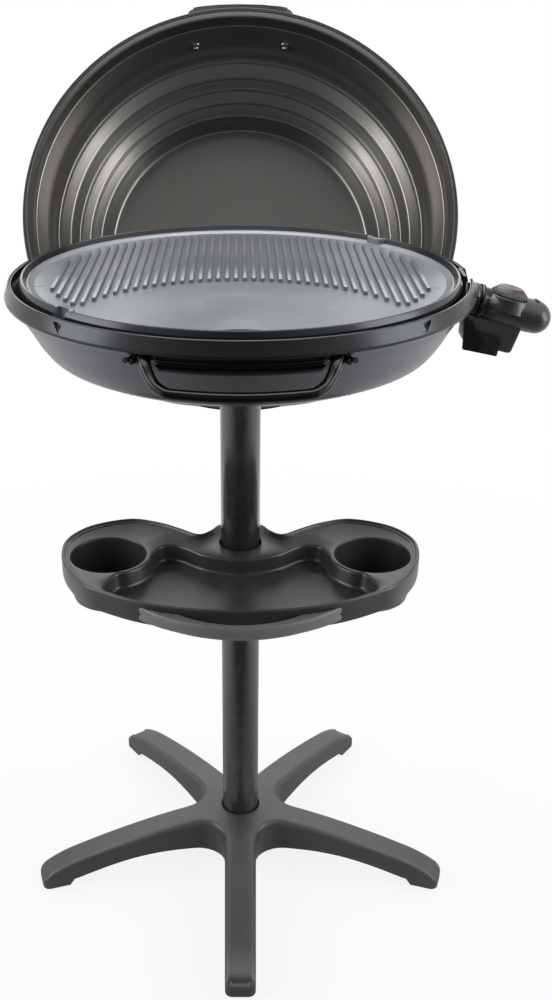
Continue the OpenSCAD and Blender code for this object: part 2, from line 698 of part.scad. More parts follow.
module terminal_block() {
    color([0.16, 0.16, 0.17]) difference() {
        union() {
            control_frame() translate([-34, 0, 0]) rotate([0, 90, 0]) {
                cylinder(r = 18, h = 8);
                translate([0, 0, 22]) cylinder(r = 20, h = 9);
            }
            control_frame() translate([-30, -14, -6]) cube([20, 28, 12]);
            translate([guard_x, -guard_w / 2, ctl_z]) cube([guard_t, guard_w, guard_h]);
        }
        translate([0, 0, plate_floor - seat_gap / 2]) cylinder(r = plate_r + over, h = 30);
        for (s = [-1, 1]) control_frame() translate([-40, s * prong_y, -4]) rotate([0, 90, 0])
            cylinder(r = prong_r + push_fit, h = 50);
        control_frame() translate([-60, 0, 2]) rotate([0, 90, 0]) cylinder(r = 4 + push_fit, h = 70);
        for (s = [-1, 1]) translate([prong_root[0] - 10, s * prong_y, prong_root[2] - 3])
            rotate([0, 90, 0]) cylinder(r = element_r + 1.5, h = 14);
    }
}
module terminal_prongs() {
    color([0.75, 0.75, 0.76]) for (s = [-1, 1]) control_frame()
        translate([-30, s * prong_y, -4]) rotate([0, 90, 0]) cylinder(r = prong_r, h = 44);
}
module probe_tube() {
    color([0.7, 0.7, 0.7]) control_frame() translate([-68, 0, 2]) rotate([0, 90, 0])
        difference() {
            cylinder(r = 4, h = 60);
            translate([0, 0, 2]) cylinder(r = 2.8 + seat_gap, h = 60);
        }
}

// ---- Lid ----
module lid_pose() {
    translate([0, hinge_y, hinge_z]) rotate([-lid_swing, 0, 0])
        translate([0, -hinge_y, -hinge_z]) children();
}
dome_inner = [for (c = crease) c];
dome_outer = beside(dome_inner, -lid_wall);
module dome_solid(grow) {
    translate([0, 0, lid_z]) rotate_extrude() polygon(concat([[0, -over]],
        [[dome_outer[0][0] + grow, -over]], [for (p = dome_outer) p + [grow, 0]],
        [[0, dome_outer[len(dome_outer) - 1][1] + grow]]));
}
module lid_shell() {
    color([0.5, 0.48, 0.45]) lid_pose() difference() {
        translate([0, 0, lid_z]) rotate_extrude() polygon(concat(
            [[flange_in, 0], [lid_r, 0], [lid_r, 5], [lid_r - lid_wall, 5],
                [lid_r - lid_wall, lid_wall], [dome_outer[0][0], lid_wall]],
            [for (i = [1 : len(dome_outer) - 1]) dome_outer[i]],
            [[0, dome_d + lid_wall], [0, dome_d]],
            turned(dome_inner)));
        translate([-lid_r, vent_y, lid_z - over]) cube([2 * lid_r, 100, vent_h + over]);
        both_sides() lid_screw_place() cylinder(r = 2 + push_fit, h = 40, center = true);
        both_sides() at_ear_rivets() translate([0, 0, -lid_wall - over])
            cylinder(r = ear_rivet_r + push_fit, h = 6);
    }
}
module lid_screw_place() { // on the wall of the closed lid, pointing inwards
    translate([handle_screw_x, -sqrt(pow(lid_wall_r(handle_h), 2) - pow(handle_screw_x, 2)),
        lid_z + handle_h]) rotate([-90, 0, 0]) children();
}
module lid_ear() {
    lid_pose() difference() {
        hinge_side(ear_x, ear_x + ear_t) {
            circle(r = ear_half);
            translate([-ear_half, 0]) square([2 * ear_half, lid_z - hinge_z]);
        }
        hinge_side(ear_x - over, ear_x + ear_t + over) circle(r = pin_r + run_fit);
        at_ear_rivets() translate([0, 0, -ear_rivet_l]) cylinder(r = ear_rivet_r + push_fit, h = 12);
    }
}
module lid_ear_right() { color([0.55, 0.55, 0.56]) lid_ear(); }
module lid_ear_left() { color([0.55, 0.55, 0.56]) mirror([1, 0, 0]) lid_ear(); }
module ear_rivets() {
    color([0.6, 0.6, 0.62]) both_sides() lid_pose() at_ear_rivets() {
        cylinder(r = 2.2, h = 1.5);
        translate([0, 0, 0.5 - ear_rivet_l]) cylinder(r = ear_rivet_r, h = ear_rivet_l);
    }
}
ear_rivet_r = 1.2;
ear_rivet_l = 9;
module at_ear_rivets() { // on the flange of the closed lid
    for (y = [-7, 1]) translate([ear_x + ear_t / 2, hinge_y + y, lid_z + lid_wall]) children();
}
module lid_handle() {
    color([0.06, 0.06, 0.07]) lid_pose() difference() {
        union() {
            translate([-handle_half, -handle_y, lid_z + handle_h - 12])
                cube([2 * handle_half, handle_bar, 22]);
            both_sides() translate([handle_half - 20, -handle_y, lid_z + handle_h - 12])
                cube([20, grip_room + handle_bar + 14, 22]);
        }
        dome_solid(push_fit);
        both_sides() lid_screw_place() cylinder(r = 2 + push_fit, h = 40, center = true);
    }
}
module lid_handle_screws() {
    color([0.85, 0.85, 0.86]) lid_pose() both_sides() lid_screw_place() {
        translate([0, 0, -18]) cylinder(r = 2, h = 18 + lid_wall + 3);
        translate([0, 0, lid_wall + 2.2]) cylinder(r = 4.5, h = 2.6);
    }
}

// ---- Heat control ----
module body_form(shrink) {
    hull() {
        translate([34, 0, 0]) scale([0.6, 1, body_half_h / body_half_w])
            sphere(r = body_half_w - shrink, $fn = hull_fn);
        translate([body_end - body_half_h, 0, 0])
            scale([1, (body_half_w - 1) / body_half_h, 1])
            sphere(r = body_half_h - shrink, $fn = hull_fn);
    }
}
module housing_shell() {
    difference() {
        union() {
            body_form(0);
            rotate([0, 90, 0]) cylinder(r = neck_r, h = neck_l);
            translate([dial_x, 0, 6]) cylinder(r1 = dial_r + 5, r2 = dial_r + 1,
                h = dial_z - 6 - seat_gap);
        }
        difference() {
            body_form(body_wall);
            translate([dial_x, 0, dial_z - seat_gap - body_wall])
                cylinder(r = dial_r + 3, h = body_half_h);
        }
        translate([dial_x, 0, dial_z - seat_gap]) cylinder(r = dial_r + 1.2, h = body_half_h);
        translate([3, 0, 0]) rotate([0, 90, 0]) cylinder(r = neck_r - body_wall, h = neck_l);
        for (s = [-1, 1]) translate([-over, s * prong_y, -4]) rotate([0, 90, 0])
            cylinder(r = prong_r + 0.5, h = 10);
        translate([-over, 0, 2]) rotate([0, 90, 0]) cylinder(r = 2.8 + 0.5, h = 10);
        translate([dial_x, 0, 0]) cylinder(r = shaft_r + run_fit, h = 30);
        translate([lens_x, 0, lens_z]) rotate([0, 30, 0]) cylinder(r = lens_r + push_fit, h = 20);
    }
}
lens_x = 83;
lens_z = 8;
lens_r = 5;
half_box = 2 * body_end; // the two halves of the housing are parted by a block of this half size
module control_housing_top() {
    color([0.24, 0.25, 0.27]) control_frame() difference() {
        housing_shell();
        translate([-half_box, -half_box, -half_box]) cube([2 * half_box, 2 * half_box, half_box]);
    }
}
module control_housing_bottom() {
    color([0.24, 0.25, 0.27]) control_frame() intersection() {
        housing_shell();
        translate([-half_box, -half_box, -half_box])
            cube([2 * half_box, 2 * half_box, half_box - push_fit]);
    }
}
module box_view() {
    polygon([[3, -12], [11, -47], [71, -47], [74, -12]]);
}
module control_box() {
    color([0.3, 0.31, 0.33]) control_frame() difference() {
        translate([0, 18, 0]) rotate([90, 0, 0]) linear_extrude(36) box_view();
        body_form(-push_fit * 2);
        rotate([0, 90, 0]) cylinder(r = neck_r + push_fit * 2, h = neck_l + 20);
        translate([0, 15.6, 0]) rotate([90, 0, 0]) linear_extrude(31.2) intersection() {
            box_view();
            polygon([[8, 0], [13, -44.6], [68, -44.6], [71, 0]]);
        }
        translate([45, 10, -33]) rotate([-90, 0, 0]) cylinder(r = gland_r + push_fit, h = 20);
        at_cover_pegs() cylinder(r = peg_r + push_fit, h = 10);
    }
}
module box_cover() {
    color([0.05, 0.05, 0.05]) control_frame() difference() {
        translate([0, -18 - push_fit, 0]) rotate([90, 0, 0]) linear_extrude(4) polygon([
            [2.6, -16.7], [12, -54.5], [55, -53], [53.4, -35], [52, -32], [49, -30.4],
            [24, -28], [19, -26], [14, -19], [10, -16.7]]);
        body_form(-push_fit * 3);
        rotate([0, 90, 0]) cylinder(r = neck_r + push_fit * 3, h = neck_l + 20);
    }
    color([0.05, 0.05, 0.05]) control_frame() at_cover_pegs() cylinder(r = peg_r, h = 7);
}
peg_r = 1.5;
module at_cover_pegs() { // from inside the box's wall to inside its cover
    for (x = [24, 48]) translate([x, -13, -40]) rotate([90, 0, 0]) children();
}
module thermostat_switch() {
    color([0.85, 0.82, 0.75]) control_frame() difference() {
        translate([34, -13, -body_half_h + 6]) cube([30, 26, body_half_h + 4]);
        translate([dial_x, 0, 0]) cylinder(r = shaft_r + run_fit, h = 30);
    }
}
module contact_sleeves() {
    color([0.8, 0.65, 0.35]) control_frame() for (s = [-1, 1])
        translate([3.2, s * prong_y, -4]) rotate([0, 90, 0]) difference() {
            cylinder(r = prong_r + 1.2, h = 16);
            translate([0, 0, -over]) cylinder(r = prong_r + run_fit, h = 14);
        }
}
module probe_rod() {
    color([0.75, 0.75, 0.76]) control_frame() translate([-62, 0, 2]) rotate([0, 90, 0])
        cylinder(r = 2.8, h = 88);
}
module indicator_lens() {
    color([0.95, 0.6, 0.15, 0.8]) control_frame() translate([lens_x, 0, lens_z])
        rotate([0, 30, 0]) translate([0, 0, 4]) cylinder(r = lens_r, h = 8.5);
}
module indicator_lamp() {
    color([0.95, 0.8, 0.6]) control_frame() translate([lens_x, 0, lens_z])
        rotate([0, 30, 0]) translate([0, 0, -6]) cylinder(r = 2.5, h = 9.7);
}
module cord_gland() {
    color([0.06, 0.06, 0.06]) control_frame() translate([45, 12, -33]) rotate([-90, 0, 0])
        difference() {
            union() {
                cylinder(r = gland_r, h = 8);
                translate([0, 0, 6 + push_fit]) cylinder(r = gland_r + 2, h = 3);
            }
            translate([0, 0, -over]) cylinder(r = 3.2, h = 20);
        }
}
module dial() {
    color([0.07, 0.07, 0.08]) control_frame() translate([dial_x, 0, dial_z]) difference() {
        union() {
            cylinder(r = dial_r, h = dial_h * 0.55);
            translate([0, 0, dial_h * 0.55]) cylinder(r1 = dial_r, r2 = dial_r - 6,
                h = dial_h * 0.45);
        }
        translate([0, 0, -over]) cylinder(r = shaft_r + push_fit, h = dial_h - 4 + over);
    }
}
module dial_shaft() {
    color([0.7, 0.7, 0.72]) control_frame() translate([dial_x, 0, 6])
        cylinder(r = shaft_r, h = dial_z - 6 + dial_h - 4 - push_fit);
}

base_star();
foot_pads();
base_bolt();
base_washer();
tube_plug();
lower_tube();
tube_coupler();
upper_tube();
shelf_tray();
shelf_rail();
rail_pins();
shelf_collar();
collar_screws();
collar_clamp_bolt();
bowl_socket();
socket_screws();
bowl_shell();
drip_tray();
front_handle();
handle_screws();
hinge_bracket_left();
hinge_bracket_right();
bracket_rivets();
hinge_pins();
grill_plate();
heating_element();
element_clips();
terminal_block();
terminal_prongs();
probe_tube();
lid_shell();
lid_ear_left();
lid_ear_right();
ear_rivets();
lid_handle();
lid_handle_screws();
control_housing_top();
control_housing_bottom();
control_box();
box_cover();
thermostat_switch();
contact_sleeves();
probe_rod();
indicator_lens();
indicator_lamp();
cord_gland();
dial();
dial_shaft();
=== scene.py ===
from math import asin, ceil, copysign, cos, pi, radians, sin, sqrt, tan
import bpy
import bmesh
from mathutils import Matrix, Vector


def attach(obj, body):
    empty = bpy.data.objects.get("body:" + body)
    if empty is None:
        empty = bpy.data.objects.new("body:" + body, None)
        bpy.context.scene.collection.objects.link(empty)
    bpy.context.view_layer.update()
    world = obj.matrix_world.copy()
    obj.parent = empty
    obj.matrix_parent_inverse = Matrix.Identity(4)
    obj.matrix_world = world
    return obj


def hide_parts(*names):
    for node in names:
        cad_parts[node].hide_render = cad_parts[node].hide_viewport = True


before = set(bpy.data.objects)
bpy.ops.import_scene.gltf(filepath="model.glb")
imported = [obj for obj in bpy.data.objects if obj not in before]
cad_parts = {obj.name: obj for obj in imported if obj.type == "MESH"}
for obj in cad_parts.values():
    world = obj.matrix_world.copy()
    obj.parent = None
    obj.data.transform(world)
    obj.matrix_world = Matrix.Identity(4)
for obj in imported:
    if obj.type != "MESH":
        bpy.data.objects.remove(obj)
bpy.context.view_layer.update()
print("frame loaded:", len(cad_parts), "solids")

# Shapes are drawn in millimetres and scaled to metres when a piece is finished.
toMetres = 0.001


# curve and mesh helpers

def turned(degrees, axis="Z"):
    return Matrix.Rotation(radians(degrees), 4, axis)


def shifted(x, y, z):
    return Matrix.Translation((x, y, z))


def onRing(radius, angle, z):  # point at a radius and an angle in radians round the upright axis
    return Vector((radius * cos(angle), radius * sin(angle), z))


def roundOff(corners, steps=4):  # corners are (x, y, radius); the two ends stay sharp
    line = []
    last = len(corners) - 1
    for i, (x, y, radius) in enumerate(corners):
        b = Vector((x, y))
        if radius == 0 or i in (0, last):
            line.append(b)
            continue
        toA, toC = Vector(corners[i - 1][:2]) - b, Vector(corners[i + 1][:2]) - b
        u, v = toA.normalized(), toC.normalized()
        half = u.angle(v) / 2
        if half > radians(88):
            line.append(b)
            continue
        cut = min(radius / tan(half), toA.length * 0.48, toC.length * 0.48)
        centre = b + (u + v).normalized() * (cut / cos(half))
        spoke = b + u * cut - centre
        turn = (pi - 2 * half) * (1 if u.cross(v) < 0 else -1)
        for k in range(steps + 1):
            line.append(centre + Matrix.Rotation(turn * k / steps, 2) @ spoke)
    return line


def closedRound(corners, steps=4):  # rounds every corner of a closed outline
    n = len(corners)
    line = []
    for i in range(n):
        three = [corners[i - 1], corners[i], corners[(i + 1) % n]]
        line += roundOff(three, steps)[1:-1]
    return line


def throughPoints(points, steps, closed=True):  # smooth curve through the points
    p = [Vector(q) for q in points]
    n = len(p)
    if not closed:
        p = p + [2 * p[-1] - p[-2], 2 * p[0] - p[1]]
    line = []
    for i in range(n if closed else n - 1):
        a, b, c, d = (p[(i + k) % len(p)] for k in (-1, 0, 1, 2))
        for j in range(steps):
            t = j / steps
            line.append((2 * b + (c - a) * t + (2 * a - 5 * b + 4 * c - d) * t * t
                         + (3 * b - a - 3 * c + d) * t ** 3) / 2)
    return line if closed else line + [p[n - 1]]


def inset(line, distance, closed=True):  # moved to its left, which is inwards for an anticlockwise line
    n = len(line)
    moved = []
    for i in range(n):
        before, after = (i - 1, (i + 1) % n) if closed else (max(i - 1, 0), min(i + 1, n - 1))
        t = line[after] - line[before]
        moved.append(line[i] + Vector((-t.y, t.x)).normalized() * distance)
    return moved


def resample(line, gap):
    dense = []
    for a, b in zip(line, line[1:]):
        parts = max(1, ceil((b - a).length / gap))
        dense += [a.lerp(b, k / parts) for k in range(parts)]
    return dense + [line[-1]]


def whole(half):  # half outline from front to back, made whole by its mirror image
    return half + [(-x, y) for x, y in half[-2:0:-1]]


def circle(x, y, radius, steps=64):
    return [Vector((x + radius * cos(2 * pi * k / steps),
                    y + radius * sin(2 * pi * k / steps))) for k in range(steps)]


def atHeight(line, z):
    return [Vector((p[0], p[1], z)) for p in line]


def loft(mesh, rings, closedLoft=False, capStart=False, capEnd=False, marks=None):
    made = [[mesh.verts.new(p) for p in ring] for ring in rings]
    for a, b in list(zip(made, made[1:])) + ([(made[-1], made[0])] if closedLoft else []):
        for k in range(len(a)):
            n = (k + 1) % len(a)
            face = mesh.faces.new((a[k], a[n], b[n], b[k]))
            face.material_index = marks[k] if marks else 0
    if capStart:
        mesh.faces.new(made[0][::-1])
    if capEnd:
        mesh.faces.new(made[-1])
    return made


def solidLoft(mesh, rings):
    loft(mesh, rings, capStart=True, capEnd=True)


def ringEdges(mesh, ring):
    return [mesh.edges.get((ring[k - 1], ring[k])) or mesh.edges.new((ring[k - 1], ring[k]))
            for k in range(len(ring))]


def spin(mesh, profile, steps=180, place=Matrix(), marks=None):  # closed profile of (radius, height)
    rings = [[place @ onRing(p[0], 2 * pi * i / steps, p[1]) for p in profile] for i in range(steps)]
    made = loft(mesh, rings, closedLoft=True, marks=marks)
    onAxis = [v for ring in made for k, v in enumerate(ring) if abs(profile[k][0]) < 1e-6]
    bmesh.ops.remove_doubles(mesh, verts=onAxis, dist=1e-5)


def roundEdges(part, edges, bevel, segments):
    bmesh.ops.bevel(part, geom=edges, offset=bevel, segments=segments, profile=0.5, affect="EDGES")


def block(mesh, low, high, bevel=0, place=Matrix()):
    part = bmesh.new()
    centre, size = (Vector(high) + Vector(low)) / 2, Vector(high) - Vector(low)
    bmesh.ops.create_cube(part, size=1, matrix=place @ shifted(*centre) @ Matrix.Diagonal((*size, 1)))
    if bevel:
        roundEdges(part, part.edges[:], bevel, 3)
    addPart(mesh, part)


def slab(mesh, outline, low, high, bevel=0, place=Matrix(), segments=3):
    part = bmesh.new()
    solidLoft(part, [atHeight(outline, low), atHeight(outline, high)])
    if bevel:
        rims = {e for f in part.faces if len(f.verts) > 4 or abs(f.normal.z) > 0.9 for e in f.edges}
        roundEdges(part, list(rims), bevel, segments)
    move(part, place)
    addPart(mesh, part)


def addPart(mesh, part):
    bmesh.ops.recalc_face_normals(part, faces=part.faces)
    data = bpy.data.meshes.new("part")
    part.to_mesh(data)
    part.free()
    mesh.from_mesh(data)
    bpy.data.meshes.remove(data)


def move(mesh, matrix):
    bmesh.ops.transform(mesh, matrix=matrix, verts=mesh.verts)


def flatFill(mesh, edges):
    bmesh.ops.triangle_fill(mesh, use_beauty=True, edges=edges, normal=(0, 0, 1))


def bandMarks(profile, axis, low):  # material 1 on the part of a profile that lies past a level
    n = len(profile)
    return [1 if min(profile[k][axis], profile[(k + 1) % n][axis]) > low else 0 for k in range(n)]


def oval(halfWide, halfHigh, squareness=2.0, steps=32):
    line = []
    for k in range(steps):
        c, s = cos(2 * pi * k / steps), sin(2 * pi * k / steps)
        line.append((halfWide * copysign(abs(c) ** (2 / squareness), c),
                     halfHigh * copysign(abs(s) ** (2 / squareness), s)))
    return line


def sweep(mesh, path, section, up=(0, 0, 1), scales=None):
    rings = []
    for i, p in enumerate(path):
        t = (path[min(i + 1, len(path) - 1)] - path[max(i - 1, 0)]).normalized()
        side = t.cross(Vector(up)).normalized()
        rise = side.cross(t)
        wide, high = scales[i] if scales else (1, 1)
        rings.append([p + side * x * wide + rise * y * high for x, y in section])
    part = bmesh.new()
    solidLoft(part, rings)
    addPart(mesh, part)


def markSharp(data, degrees):
    mesh = bmesh.new()
    mesh.from_mesh(data)
    for face in mesh.faces:
        face.smooth = True
    for edge in mesh.edges:
        edge.smooth = edge.is_manifold and edge.calc_face_angle(0) < radians(degrees)
    mesh.to_mesh(data)
    mesh.free()


def newObject(name, data):
    made = bpy.data.objects.new(name, data)
    bpy.context.scene.collection.objects.link(made)
    return made


def asData(name, mesh):
    data = bpy.data.meshes.new(name)
    bmesh.ops.scale(mesh, vec=(toMetres,) * 3, verts=mesh.verts)
    mesh.to_mesh(data)
    mesh.free()
    return data


def makePiece(name, mesh, body, looks, replaced=(), sharp=35):
    bmesh.ops.recalc_face_normals(mesh, faces=mesh.faces)
    data = asData(name, mesh)
    markSharp(data, sharp)
    piece = newObject(name, data)
    for look in looks.split():  # keys in the table of finishes
        data.materials.append(finish[look])
    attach(piece, body)
    if replaced:
        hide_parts(*replaced)
    return piece


def bake(piece, sharp=35):  # the piece's modifiers become its mesh
    bpy.context.view_layer.update()
    solid = piece.evaluated_get(bpy.context.evaluated_depsgraph_get())
    data = bpy.data.meshes.new_from_object(solid)
    piece.modifiers.clear()
    piece.data = data
    markSharp(data, sharp)


def cutAway(piece, cutter, sharp=35):
    bmesh.ops.recalc_face_normals(cutter, faces=cutter.faces)
    tool = newObject("cutter", asData("cutter", cutter))
    cut = piece.modifiers.new("cut", "BOOLEAN")
    cut.operation, cut.solver, cut.object = "DIFFERENCE", "EXACT", tool
    bake(piece, sharp)
    bpy.data.objects.remove(tool)


# shader groups

def newGroup(name, inputs, outputs):  # all its sockets are plain values
    group = bpy.data.node_groups.new(name, "ShaderNodeTree")
    for label, value in inputs.items():
        socket = group.interface.new_socket(name=label, in_out="INPUT", socket_type="NodeSocketFloat")
        socket.default_value = value
    for label in outputs:
        group.interface.new_socket(name=label, in_out="OUTPUT", socket_type="NodeSocketFloat")
    return (group, group.nodes.new("NodeGroupInput"), group.nodes.new("NodeGroupOutput"),
            group.nodes.new("ShaderNodeTexCoord"))


def node(tree, kind, inputs=None, **settings):  # an input is a number, a colour or another node's output
    made = tree.nodes.new(kind)
    for key, value in settings.items():
        setattr(made, key, value)
    for key, value in (inputs or {}).items():
        if isinstance(value, (int, float)):
            made.inputs[key].default_value = value
        elif isinstance(value, tuple):
            made.inputs[key].default_value = (*value, 1)
        else:
            tree.links.new(value, made.inputs[key])
    return made


def calc(tree, operation, a, b=0.0, clamp=False):
    return node(tree, "ShaderNodeMath", {0: a, 1: b}, operation=operation, use_clamp=clamp).outputs[0]


def mixColour(tree, factor, a, b, blend="MIX"):
    return node(tree, "ShaderNodeMix", {0: factor, 6: a, 7: b}, data_type="RGBA", blend_type=blend,
                clamp_factor=True).outputs[2]


def mixValue(tree, factor, a, b):
    return node(tree, "ShaderNodeMix", {0: factor, 2: a, 3: b}, data_type="FLOAT").outputs[0]


def remap(tree, source, low, high, toLow=0.0, toHigh=1.0):
    return node(tree, "ShaderNodeMapRange", {0: source, 1: low, 2: high, 3: toLow, 4: toHigh}).outputs[0]


def noise(tree, place, scale, **values):
    return node(tree, "ShaderNodeTexNoise",
                {"Vector": place.outputs["Object"], "Scale": scale, **values}).outputs["Fac"]


def aroundHalf(tree, source, spread):  # a value swung round one half
    swing = calc(tree, "MULTIPLY", calc(tree, "SUBTRACT", source, 0.5), spread)
    return calc(tree, "ADD", swing, 0.5, True)


def buildMouldedGrain():  # fine pebbled skin of moulded or powder-coated parts
    group, given, result, place = newGroup("mouldedGrain", {"Size": 900.0, "Softness": 0.5},
                                           ("Height", "Tone"))
    pebbles = node(group, "ShaderNodeTexVoronoi",
                   {"Vector": place.outputs["Object"], "Scale": given.outputs["Size"],
                    "Smoothness": given.outputs["Softness"]}, feature="SMOOTH_F1")
    speckle = noise(group, place, given.outputs["Size"], Detail=3.0, Roughness=0.6)
    height = calc(group, "ADD", calc(group, "MULTIPLY", pebbles.outputs["Distance"], 0.7),
                  calc(group, "MULTIPLY", speckle, 0.5))
    group.links.new(height, result.inputs["Height"])
    group.links.new(speckle, result.inputs["Tone"])
    return group


def buildCloudyTone():  # slow change of tone and gloss over a large surface
    group, given, result, place = newGroup("cloudyTone", {"Scale": 6.0, "Contrast": 1.0}, ("Tone", "Smudge"))
    scale = given.outputs["Scale"]
    cloud = noise(group, place, scale, Detail=4.0, Roughness=0.55, Distortion=0.6)
    finer = noise(group, place, calc(group, "MULTIPLY", scale, 4.7), Detail=6.0, Roughness=0.7,
                  Distortion=1.4)
    group.links.new(aroundHalf(group, cloud, given.outputs["Contrast"]), result.inputs["Tone"])
    group.links.new(remap(group, finer, 0.52, 0.72), result.inputs["Smudge"])
    return group


def brokenMask(group, given, result, base, rub):  # a mask broken up by noise and held to an amount
    mask = calc(group, "MULTIPLY", base, rub)
    group.links.new(calc(group, "MULTIPLY", mask, given.outputs["Amount"], True), result.inputs["Mask"])
    return group


def buildEdgeWear():  # lighter rub on convex edges, broken up by noise
    group, given, result, place = newGroup("edgeWear", {"Amount": 0.5, "Breakup": 60.0}, ("Mask",))
    shape = node(group, "ShaderNodeNewGeometry")
    edge = remap(group, shape.outputs["Pointiness"], 0.52, 0.62)
    rub = noise(group, place, given.outputs["Breakup"], Detail=5.0, Roughness=0.65)
    return brokenMask(group, given, result, edge, remap(group, rub, 0.4, 0.65))


def buildLooseDust():  # thin dust on faces that look upwards
    group, given, result, place = newGroup("looseDust", {"Amount": 0.2, "Scale": 40.0}, ("Mask",))
    shape = node(group, "ShaderNodeNewGeometry")
    axes = node(group, "ShaderNodeSeparateXYZ", {0: shape.outputs["Normal"]})
    up = remap(group, axes.outputs["Z"], 0.55, 1.0)
    specks = noise(group, place, given.outputs["Scale"], Detail=8.0, Roughness=0.72)
    return brokenMask(group, given, result, up, remap(group, specks, 0.42, 0.75))


def buildMetalFlake():  # tiny flakes in a metallic coat
    group, given, result, place = newGroup("metalFlake", {"Size": 2600.0, "Sparkle": 0.5},
                                           ("Tone", "Height"))
    cells = node(group, "ShaderNodeTexVoronoi",
                 {"Vector": place.outputs["Object"], "Scale": given.outputs["Size"]})
    tone = node(group, "ShaderNodeSeparateColor", {0: cells.outputs["Color"]})
    group.links.new(aroundHalf(group, tone.outputs[0], given.outputs["Sparkle"]), result.inputs["Tone"])
    group.links.new(cells.outputs["Distance"], result.inputs["Height"])
    return group


mouldedGrain = buildMouldedGrain()
cloudyTone = buildCloudyTone()
edgeWear = buildEdgeWear()
looseDust = buildLooseDust()
metalFlake = buildMetalFlake()


def useGroup(tree, group, **values):
    placed = tree.nodes.new("ShaderNodeGroup")
    placed.node_tree = group
    for key, value in values.items():
        placed.inputs[key].default_value = value
    return placed


def grey(level, cool=1.0):  # linear grey, a little blue where cool is above one
    return (level, level * (1 + (cool - 1) * 0.4), level * cool)


usualLook = {"colour": (0.05, 0.05, 0.055), "dark": 0.75, "light": 1.25, "worn": (0.2, 0.2, 0.21),
             "rough": 0.45, "roughSpread": 0.12, "metallic": 0.0, "specular": 0.5, "coat": 0.0,
             "coatRough": 0.1, "grain": 900.0, "grainDepth": 0.00005, "grainStrength": 0.3, "flake": 0.0,
             "flakeSize": 2600.0, "wear": 0.15, "dust": 0.03, "dustColour": (0.42, 0.41, 0.39), "cloud": 6.0}


def newMaterial(name):
    material = bpy.data.materials.new(name)
    material.use_nodes = True
    return material, material.node_tree, material.node_tree.nodes["Principled BSDF"]


def makeFinish(name, **changes):
    look = {**usualLook, **changes}
    material, tree, shader = newMaterial(name)
    grain = useGroup(tree, mouldedGrain, Size=look["grain"])
    tone = useGroup(tree, cloudyTone, Scale=look["cloud"])
    wear = useGroup(tree, edgeWear, Amount=look["wear"])
    dust = useGroup(tree, looseDust, Amount=look["dust"])
    low = tuple(c * look["dark"] for c in look["colour"])
    high = tuple(min(1, c * look["light"]) for c in look["colour"])
    colour = mixColour(tree, tone.outputs["Tone"], low, high)
    speck = mixColour(tree, grain.outputs["Tone"], grey(0.88), grey(1.12))
    colour = mixColour(tree, 1.0, colour, speck, "MULTIPLY")
    height = grain.outputs["Height"]
    if look["flake"]:
        flake = useGroup(tree, metalFlake, Size=look["flakeSize"], Sparkle=1.0)
        glint = mixColour(tree, flake.outputs["Tone"], grey(1 - look["flake"]), grey(1 + look["flake"]))
        colour = mixColour(tree, 1.0, colour, glint, "MULTIPLY")
        height = calc(tree, "ADD", height, calc(tree, "MULTIPLY", flake.outputs["Height"], 0.6))
    colour = mixColour(tree, wear.outputs["Mask"], colour, look["worn"])
    colour = mixColour(tree, dust.outputs["Mask"], colour, look["dustColour"])
    tree.links.new(colour, shader.inputs["Base Color"])
    spread = look["roughSpread"]
    rough = calc(tree, "MULTIPLY", calc(tree, "SUBTRACT", tone.outputs["Tone"], 0.5), spread)
    rough = calc(tree, "ADD", rough, look["rough"])
    rough = calc(tree, "ADD", rough, calc(tree, "MULTIPLY", tone.outputs["Smudge"], spread * 0.6))
    rough = calc(tree, "ADD", rough, calc(tree, "MULTIPLY", dust.outputs["Mask"], 0.5), True)
    tree.links.new(rough, shader.inputs["Roughness"])
    bump = node(tree, "ShaderNodeBump", {"Strength": look["grainStrength"],
                                         "Distance": look["grainDepth"], "Height": height})
    tree.links.new(bump.outputs[0], shader.inputs["Normal"])
    for socket, key in (("Metallic", "metallic"), ("Specular IOR Level", "specular"),
                        ("Coat Weight", "coat"), ("Coat Roughness", "coatRough")):
        shader.inputs[socket].default_value = look[key]
    return material


